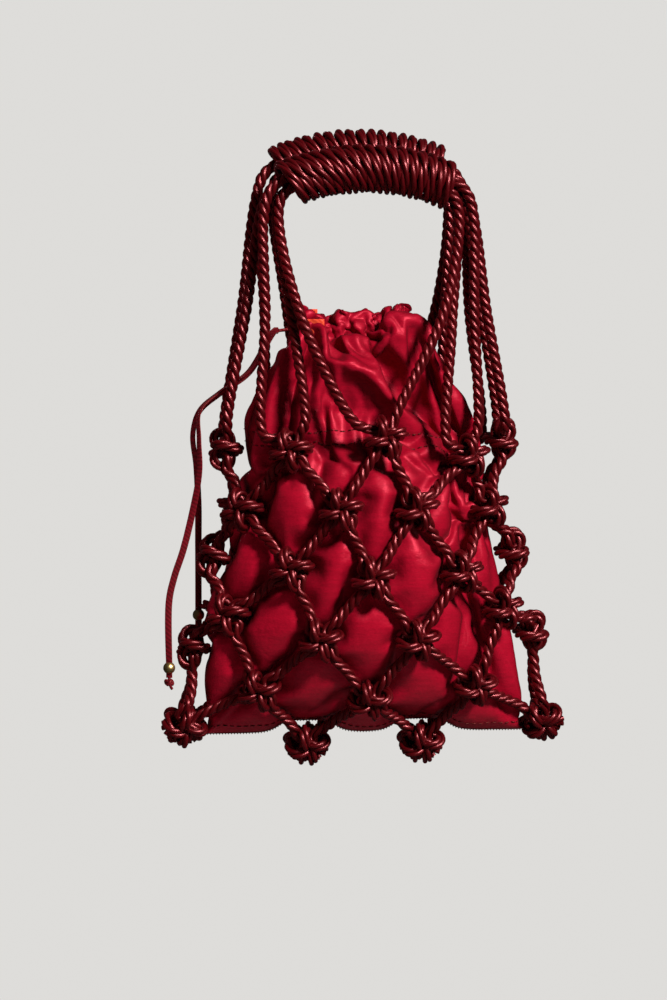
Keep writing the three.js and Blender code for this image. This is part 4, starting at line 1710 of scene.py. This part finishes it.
    def sheet_mesh(self, name: str, points: Points, side: Side) -> Mesh:
        """A sheet through a grid of points.

        Args:
            name: Name of the mesh.
            points: Points by row and column.
            side: The face of the bag that it belongs to, which tells its outer face.

        Returns:
            The mesh.
        """
        rows, columns = points.shape[0] - 1, points.shape[1] - 1
        form = bmesh.new()
        bmesh.ops.create_grid(form, x_segments=columns, y_segments=rows, size=1.0, calc_uvs=False)
        placed = to_frame(points)
        uv = form.loops.layers.uv.new("UVMap")
        for face in form.faces:
            face.smooth = True
            for loop in face.loops:
                loop[uv].uv = (0.5 + loop.vert.co.x / 2, 0.5 + loop.vert.co.y / 2)
        for vert in form.verts:
            column = round((0.5 - side.value * -0.5 * vert.co.x) * columns)
            row = round((0.5 + 0.5 * vert.co.y) * rows)
            vert.co = placed[row, column]
        return form_mesh(name, form)

    def thicken(self, piece: Piece) -> None:
        """Round a sheet off and give it its thickness, inwards.

        Args:
            piece: The sheet.
        """
        rounded = piece.modifiers.new("rounded", "SUBSURF")
        rounded.levels = rounded.render_levels = 1
        wall = piece.modifiers.new("cloth", "SOLIDIFY")
        wall.thickness = self.cloth * MM
        wall.offset = -1.0

    def dress_panel(self, side: Side, satin: Material) -> Piece:
        """Build one panel.

        Args:
            side: Front or back.
            satin: The satin's material.

        Returns:
            The panel.
        """
        name = f"pouch_{side.label}_panel"
        piece = link_piece(name + "_satin", self.sheet_mesh(name + "_satin", self.surface(side), side), satin)
        self.thicken(piece)
        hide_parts(name)
        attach(piece, "bag")
        return piece

    def dress_facing(self, side: Side, satin: Material) -> None:
        """Build the facing band behind a panel's upper part.

        Args:
            side: Front or back.
            satin: The satin's material.
        """
        points = self.surface(side)
        across = np.gradient(points, axis=1)
        up = np.gradient(points, axis=0)
        out = -side.value * np.cross(across, up)
        out /= np.linalg.norm(out, axis=-1, keepdims=True)
        margin = round((1 - self.facing_reach) / 2 * (points.shape[1] - 1))
        depth = round(self.facing_share * (points.shape[0] - 1))
        part = (slice(-depth - 1, None), slice(margin, -margin))
        name = f"pouch_{side.label}_facing"
        mesh = self.sheet_mesh(name + "_satin", (points - out * self.facing_gap)[part], side)
        piece = link_piece(name + "_satin", mesh, satin)
        self.thicken(piece)
        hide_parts(name)
        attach(piece, "bag")


@dataclass
class Drawstring:
    """Narrow ribbon through the mouth's channel, with two beaded tails out of the left side."""

    level: float = 218.0
    out_x: float = -43.16
    out_y: float = 1.7
    out_lead: float = 1.6
    tail_step: float = 1.5
    tail_turn: tuple = (0.6, 31.0)
    """How far the tails turn to and fro, in radians, and over what length."""
    long_turn: float = 0.9
    """How far the whole long tail is turned."""
    ribbon_width: float = 3.4
    ribbon_half: float = 0.28
    loop_radius: float = 0.8
    """Radius of the ribbon where it is rolled up in the channel."""
    loop_inset: tuple = (0.06, 0.22, 0.0)
    """How far the loop lies inside the channel, as shares of the way to the mouth's middle."""
    bead_radius: float = 3.0
    bore: float = 1.1
    bore_waist: float = 0.82
    """How much narrower the bore is in the bead's middle."""
    bead_steps: tuple = (15, 32)
    bead_end: float = 4.9
    """How far a tail goes on below its bead's middle."""
    stopper: float = 4.0
    stopper_share: float = 0.24
    stopper_drop: float = 0.3
    stopper_thread: float = 0.75
    stopper_lead: tuple = ((0.0, 0.0, 0.5), (0.0, 0.0, -0.8))
    stopper_end: tuple = ((0.6, -0.4, -4.2), (1.4, 0.2, -5.6))
    """Stops of the ribbon into a stopper knot and of its cut end, from the tail's end."""
    tab_size: tuple = (8.0, 11.0)
    tab_steps: tuple = (12, 16)
    tab_wall: float = 0.4
    pinking: float = 0.6
    """How deep the tabs' ends are pinked."""
    tab_bow: float = 1.2
    tab_in: float = 9.0
    """How far the tabs lie from the mouth's left end."""
    tab_off: float = 3.8
    tab_rise: float = 5.5
    """How much higher the back tab stands."""
    bead_heights: tuple = (75.0, 51.0)
    short_route: tuple = ((-58, 1.7, 197), (-72, 2, 187), (-82, 7, 178), (-85, 13, 166), (-83, 16, 150),
                          (-82, 16.5, 131), (-82, 16.5, 112))
    long_route: tuple = ((-58, -1.7, 198), (-72, -1.5, 188), (-83, -6, 178), (-84, -11, 164), (-84, -14, 149),
                         (-87, -14, 131), (-92, -13.5, 110), (-96.5, -12, 96), (-99, -11, 84))

    def tail_line(self, route: Sequence, side: int, bead_height: float) -> Points:
        """Middle line of a tail, from the side seam to below its bead.

        Args:
            route: Stops on its way.
            side: 1 behind the other tail, -1 in front.
            bead_height: Height of its bead.

        Returns:
            The points of the line.
        """
        y = side * self.out_y
        start = [(self.out_x, y, self.level), (self.out_x - self.out_lead, y, self.level)]
        last = route[-1][:2]
        stops = [*start, *route, (*last, bead_height), (*last, bead_height - self.bead_end)]
        return smooth_line(np.array(stops, float), self.tail_step)

    def dress_tails(self, ribbon: Material, gold: Material) -> None:
        """Build both tails with their beads and stopper knots.

        Args:
            ribbon: The ribbon's material.
            gold: The beads' material.
        """
        for label, route, side, height in (("short", self.short_route, 1, self.bead_heights[0]),
                                           ("long", self.long_route, -1, self.bead_heights[1])):
            line = self.tail_line(route, side, height)
            bead = self.dress_bead(label, line[-1], height, gold)
            stopper = self.dress_stopper(label, line[-1], ribbon)
            self.dress_tail(label, line, ribbon)

    def dress_mouth(self, channel: Points, ribbon: Material, tab: Material) -> None:
        """Build the loop in the channel and the tabs at its way out.

        Args:
            channel: The satin along the channel, from the left seam over the front.
            ribbon: The ribbon's material.
            tab: The tabs' material.
        """
        self.dress_loop(channel, ribbon)
        for side in Side:
            self.dress_tab(side, channel, tab)

    def ribbon_mesh(self, name: str, line: Points, tilt: Points) -> Mesh:
        """A flat ribbon with rounded edges along a line.

        Args:
            name: Name of the mesh.
            line: Its middle line, in mm.
            tilt: Turn of the ribbon about its line, in radians.

        Returns:
            The mesh.
        """
        half = self.ribbon_half
        return curve_mesh(name, [line], "tilt", [tilt], twist_mode="MINIMUM", bevel_depth=half * MM,
                          bevel_resolution=1, extrude=(self.ribbon_width / 2 - half) * MM)

    def dress_tail(self, label: str, line: Points, ribbon: Material) -> None:
        """Build one tail of ribbon.

        Args:
            label: Which tail, short or long.
            line: Its middle line.
            ribbon: The ribbon's material.
        """
        name = f"drawstring_tail_{label}"
        along = run_length(line)
        turn, span = self.tail_turn
        tilt = turn * np.sin(along / span) + (self.long_turn if label == "long" else 0.0)
        piece = link_piece(name + "_ribbon", self.ribbon_mesh(name + "_ribbon", line, tilt), ribbon)
        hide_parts(name)
        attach(piece, "bag")
        LOG.info("%s: %.0f mm long", piece.name, along[-1])

    def dress_bead(self, label: str, end: Points, height: float, gold: Material) -> Piece:
        """Build a round bead with a rolled bore.

        Args:
            label: Which tail, short or long.
            end: The tail's end.
            height: Height of the bead's middle.
            gold: The beads' material.

        Returns:
            The bead.
        """
        form = bmesh.new()
        radius = self.bead_radius
        lip = math.asin(self.bore / radius)
        turns = np.linspace(lip, math.pi - lip, self.bead_steps[0])
        verts = [form.verts.new((radius * math.sin(t), 0.0, -radius * math.cos(t))) for t in turns]
        verts.append(form.verts.new((self.bore * self.bore_waist, 0.0, 0.0)))
        edges = [form.edges.new((a, b)) for a, b in zip(verts, verts[1:] + verts[:1])]
        bmesh.ops.spin(form, geom=verts + edges, cent=(0, 0, 0), axis=(0, 0, 1), angle=math.tau,
                       steps=self.bead_steps[1], use_merge=True)
        bmesh.ops.remove_doubles(form, verts=form.verts, dist=0.001)
        bmesh.ops.recalc_face_normals(form, faces=form.faces)
        for face in form.faces:
            face.smooth = True
        place = to_frame((end[0], end[1], height))
        bmesh.ops.transform(form, matrix=Matrix.Translation(place) @ Matrix.Scale(MM, 4), verts=form.verts)
        piece = link_piece(f"bead_{label}_gold", form_mesh(f"bead_{label}_gold", form), gold)
        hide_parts(f"bead_{label}")
        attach(piece, f"{label}_bead")
        return piece

    def dress_stopper(self, label: str, end: Points, ribbon: Material) -> Piece:
        """Build the small overhand knot under a bead, with its cut end.

        Args:
            label: Which tail, short or long.
            end: The tail's end.
            ribbon: The ribbon's material.

        Returns:
            The knot.
        """
        turn = np.linspace(0, math.tau, 40)
        size = self.stopper * self.stopper_share
        knot = np.column_stack([np.sin(turn) + 2 * np.sin(2 * turn), np.cos(turn) - 2 * np.cos(2 * turn),
                                -1.6 * np.sin(3 * turn)]) * size * 0.7
        knot = knot + (end[0], end[1], end[2] - self.stopper_drop - self.stopper / 2)
        lead = smooth_line(np.vstack([end + self.stopper_lead, knot[20]]), 0.4)
        tail = smooth_line(np.vstack([knot[0], end + self.stopper_end]), 0.6)
        lines = [lead, knot, tail]
        mesh = even_tubes(f"stopper_knot_{label}_tied", lines, self.stopper_thread, 2)
        piece = link_piece(f"stopper_knot_{label}_tied", mesh, ribbon)
        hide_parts(f"stopper_knot_{label}")
        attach(piece, "bag")
        return piece

    def dress_loop(self, channel: Points, ribbon: Material) -> None:
        """Build the part of the ribbon that lies in the channel.

        Args:
            channel: The satin along the channel, from the left seam over the front.
            ribbon: The ribbon's material.
        """
        middle = channel.mean(axis=0)
        run = channel[2:-1:3]
        inner = run + (middle - run) * self.loop_inset
        out = np.array([(self.out_x, -self.out_y, self.level), (self.out_x, self.out_y, self.level)])
        line = smooth_line(np.vstack([out[:1], inner, out[1:]]), 2.0)
        mesh = even_tubes("drawstring_loop_ribbon", [line], self.loop_radius, 2)
        piece = link_piece("drawstring_loop_ribbon", mesh, ribbon)
        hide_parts("drawstring_loop")
        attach(piece, "bag")

    def dress_tab(self, side: Side, channel: Points, tab: Material) -> None:
        """Build a small ribbon tab with pinked ends, where the drawstring comes out.

        Args:
            side: Front or back.
            channel: The satin along the channel, from the left seam over the front.
            tab: The tab's material.
        """
        name = f"exit_tab_{side.label}"
        long, tall = self.tab_size
        x = float(channel[0, 0]) + self.tab_in
        near = channel[np.abs(channel[:, 0] - x) < long / 2]
        y = side.value * (float((side.value * near[:, 1]).max()) + self.tab_off)
        z = self.level + (self.tab_rise if side is Side.BACK else 0.0)
        columns, rows = self.tab_steps
        form = bmesh.new()
        bmesh.ops.create_grid(form, x_segments=columns, y_segments=rows, size=0.5)
        for vert in form.verts:
            across, up = vert.co.x, vert.co.y
            tooth = 1 if round((up + 0.5) * rows) % 2 else -1
            pink = self.pinking * tooth * float(smooth((abs(across) - 0.4) * 10))
            bow = self.tab_bow * math.sin(2.6 * across + 1.2 * up)
            end = x + across * long + math.copysign(pink, across)
            vert.co = to_frame((end, y + side.value * bow, z + up * tall))
        for face in form.faces:
            face.smooth = True
        piece = link_piece(name + "_ribbon", form_mesh(name + "_ribbon", form), tab)
        wall = piece.modifiers.new("ribbon", "SOLIDIFY")
        wall.thickness = self.tab_wall * MM
        wall.offset = 0.0
        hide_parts(name)
        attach(piece, "bag")


@dataclass
class Studio:
    """Camera, pale floor and soft studio light."""

    azimuth: float = -7.5
    elevation: float = 2.5
    distance: float = 1.55
    view_height: float = 0.501
    sensor: float = 36.0
    aim: tuple = (-0.0155, 0.0, -0.1526)
    grey: Colour = (0.73, 0.72, 0.7)
    lamp_tint: Colour = (1.0, 0.98, 0.96)
    room_tint: Colour = (0.9, 0.9, 0.92)
    room_light: float = 0.025
    floor_drop: float = -0.62
    floor_radius: float = 0.85
    floor_dark: Colour = (0.44, 0.435, 0.42)
    floor_lit: Colour = (0.47, 0.465, 0.45)
    floor_roughness: float = 0.9

    def place_camera(self) -> None:
        """Set the camera at the photograph's angle."""
        data = bpy.data.cameras.new("camera")
        data.sensor_fit = "VERTICAL"
        data.sensor_height = self.sensor
        data.lens = self.sensor * self.distance / self.view_height
        camera = bpy.data.objects.new("camera", data)
        bpy.context.scene.collection.objects.link(camera)
        turn, rise = math.radians(self.azimuth), math.radians(self.elevation)
        off = Vector((math.sin(turn) * math.cos(rise), -math.cos(turn) * math.cos(rise), math.sin(rise)))
        camera.location = Vector(self.aim) + off * self.distance
        camera.rotation_euler = (-off).to_track_quat("-Z", "Y").to_euler()
        bpy.context.scene.camera = camera

    def area_light(self, name: str, place: tuple, size: float, power: float, mirrored: bool) -> None:
        """Add a soft lamp that faces the bag.

        Args:
            name: Name of the lamp.
            place: Where it stands, in metres.
            size: Its width.
            power: Its power in watts.
            mirrored: Whether the bag mirrors it.
        """
        data = bpy.data.lights.new(name, "AREA")
        data.shape = "DISK"
        data.size = size
        data.energy = power
        data.color = self.lamp_tint
        lamp = bpy.data.objects.new(name, data)
        bpy.context.scene.collection.objects.link(lamp)
        lamp.location = place
        lamp.visible_glossy = mirrored
        aim = Vector(self.aim) - Vector(place)
        lamp.rotation_euler = aim.to_track_quat("-Z", "Y").to_euler()

    def light(self) -> None:
        """Add the lamps and the world."""
        self.area_light("key_lamp", (1.37, -1.92, 1.45), 0.58, 190.0, True)
        self.area_light("fill_lamp", (-1.9, -0.2, 0.35), 1.2, 16.0, False)
        self.area_light("back_lamp", (-0.9, 2.0, 0.9), 1.2, 60.0, False)
        world = bpy.data.worlds.new("studio")
        bpy.context.scene.world = world
        world.use_nodes = True
        nodes = Nodes(world.node_tree)
        world.node_tree.nodes.clear()
        path = nodes.add("ShaderNodeLightPath")
        seen = nodes.math("MAXIMUM", path.outputs["Is Camera Ray"], path.outputs["Is Transmission Ray"])
        shown = nodes.add("ShaderNodeBackground")
        shown.inputs["Color"].default_value = (*self.grey, 1.0)
        lit = nodes.add("ShaderNodeBackground")
        lit.inputs["Color"].default_value = (*self.room_tint, 1.0)
        lit.inputs["Strength"].default_value = self.room_light
        mix = nodes.add("ShaderNodeMixShader")
        nodes.join(seen, mix.inputs["Fac"])
        nodes.join(lit.outputs["Background"], mix.inputs[1])
        nodes.join(shown.outputs["Background"], mix.inputs[2])
        nodes.join(mix.outputs["Shader"], nodes.add("ShaderNodeOutputWorld").inputs["Surface"])

    def lay_floor(self) -> None:
        """Add the pale floor under the hanging bag."""
        form = bmesh.new()
        bmesh.ops.create_circle(form, cap_ends=True, segments=96, radius=self.floor_radius)
        bmesh.ops.translate(form, verts=form.verts, vec=(0.0, 0.0, self.floor_drop))
        mesh = form_mesh("floor", form)
        material, nodes, shader = start_finish("pale_floor")
        place = nodes.add("ShaderNodeTexCoord").outputs["Object"]
        tone = nodes.tint(nodes.noise(place, 3.0, 2.0), self.floor_dark, self.floor_lit)
        nodes.join(tone, shader.inputs["Base Color"])
        shader.inputs["Roughness"].default_value = self.floor_roughness
        floor = link_piece("floor", mesh, material)
        floor.visible_glossy = False


def main() -> None:
    """Build the bag, its finishes and the studio."""
    logging.basicConfig(level=logging.INFO, format="%(name)s: %(message)s")
    scene = bpy.context.scene
    scene.view_settings.view_transform = "Standard"
    studio = Studio()
    studio.place_camera()
    studio.lay_floor()
    studio.light()
    shape = PouchShape()
    ribbon = RibbonFinish("dark_red_ribbon", (0.05, 0.001, 0.003), (0.11, 0.002, 0.007)).build()
    thread = RibbonFinish("dark_red_thread", (0.03, 0.0004, 0.0012), (0.06, 0.0008, 0.0026)).build()
    tab = RibbonFinish("orange_red_ribbon", (0.45, 0.03, 0.012), (0.66, 0.07, 0.03)).build()
    drawstring = Drawstring()
    drawstring.dress_tails(ribbon, GoldFinish("gold_bead").build())
    net = Net(shape)
    handles = Handles(net, LaidCord())
    handles.dress(CordFinish("wine_red_cord").build())
    satin = SatinFinish("red_satin").build()
    pouch = Pouch(shape, net)
    pouch.faces.update(Drape(shape, handles).settle())
    pouch.dress(satin, thread)
    drawstring.dress_mouth(pouch.mouth_line(pouch.channel_row()), ribbon, tab)


if __name__ == "__main__":
    main()
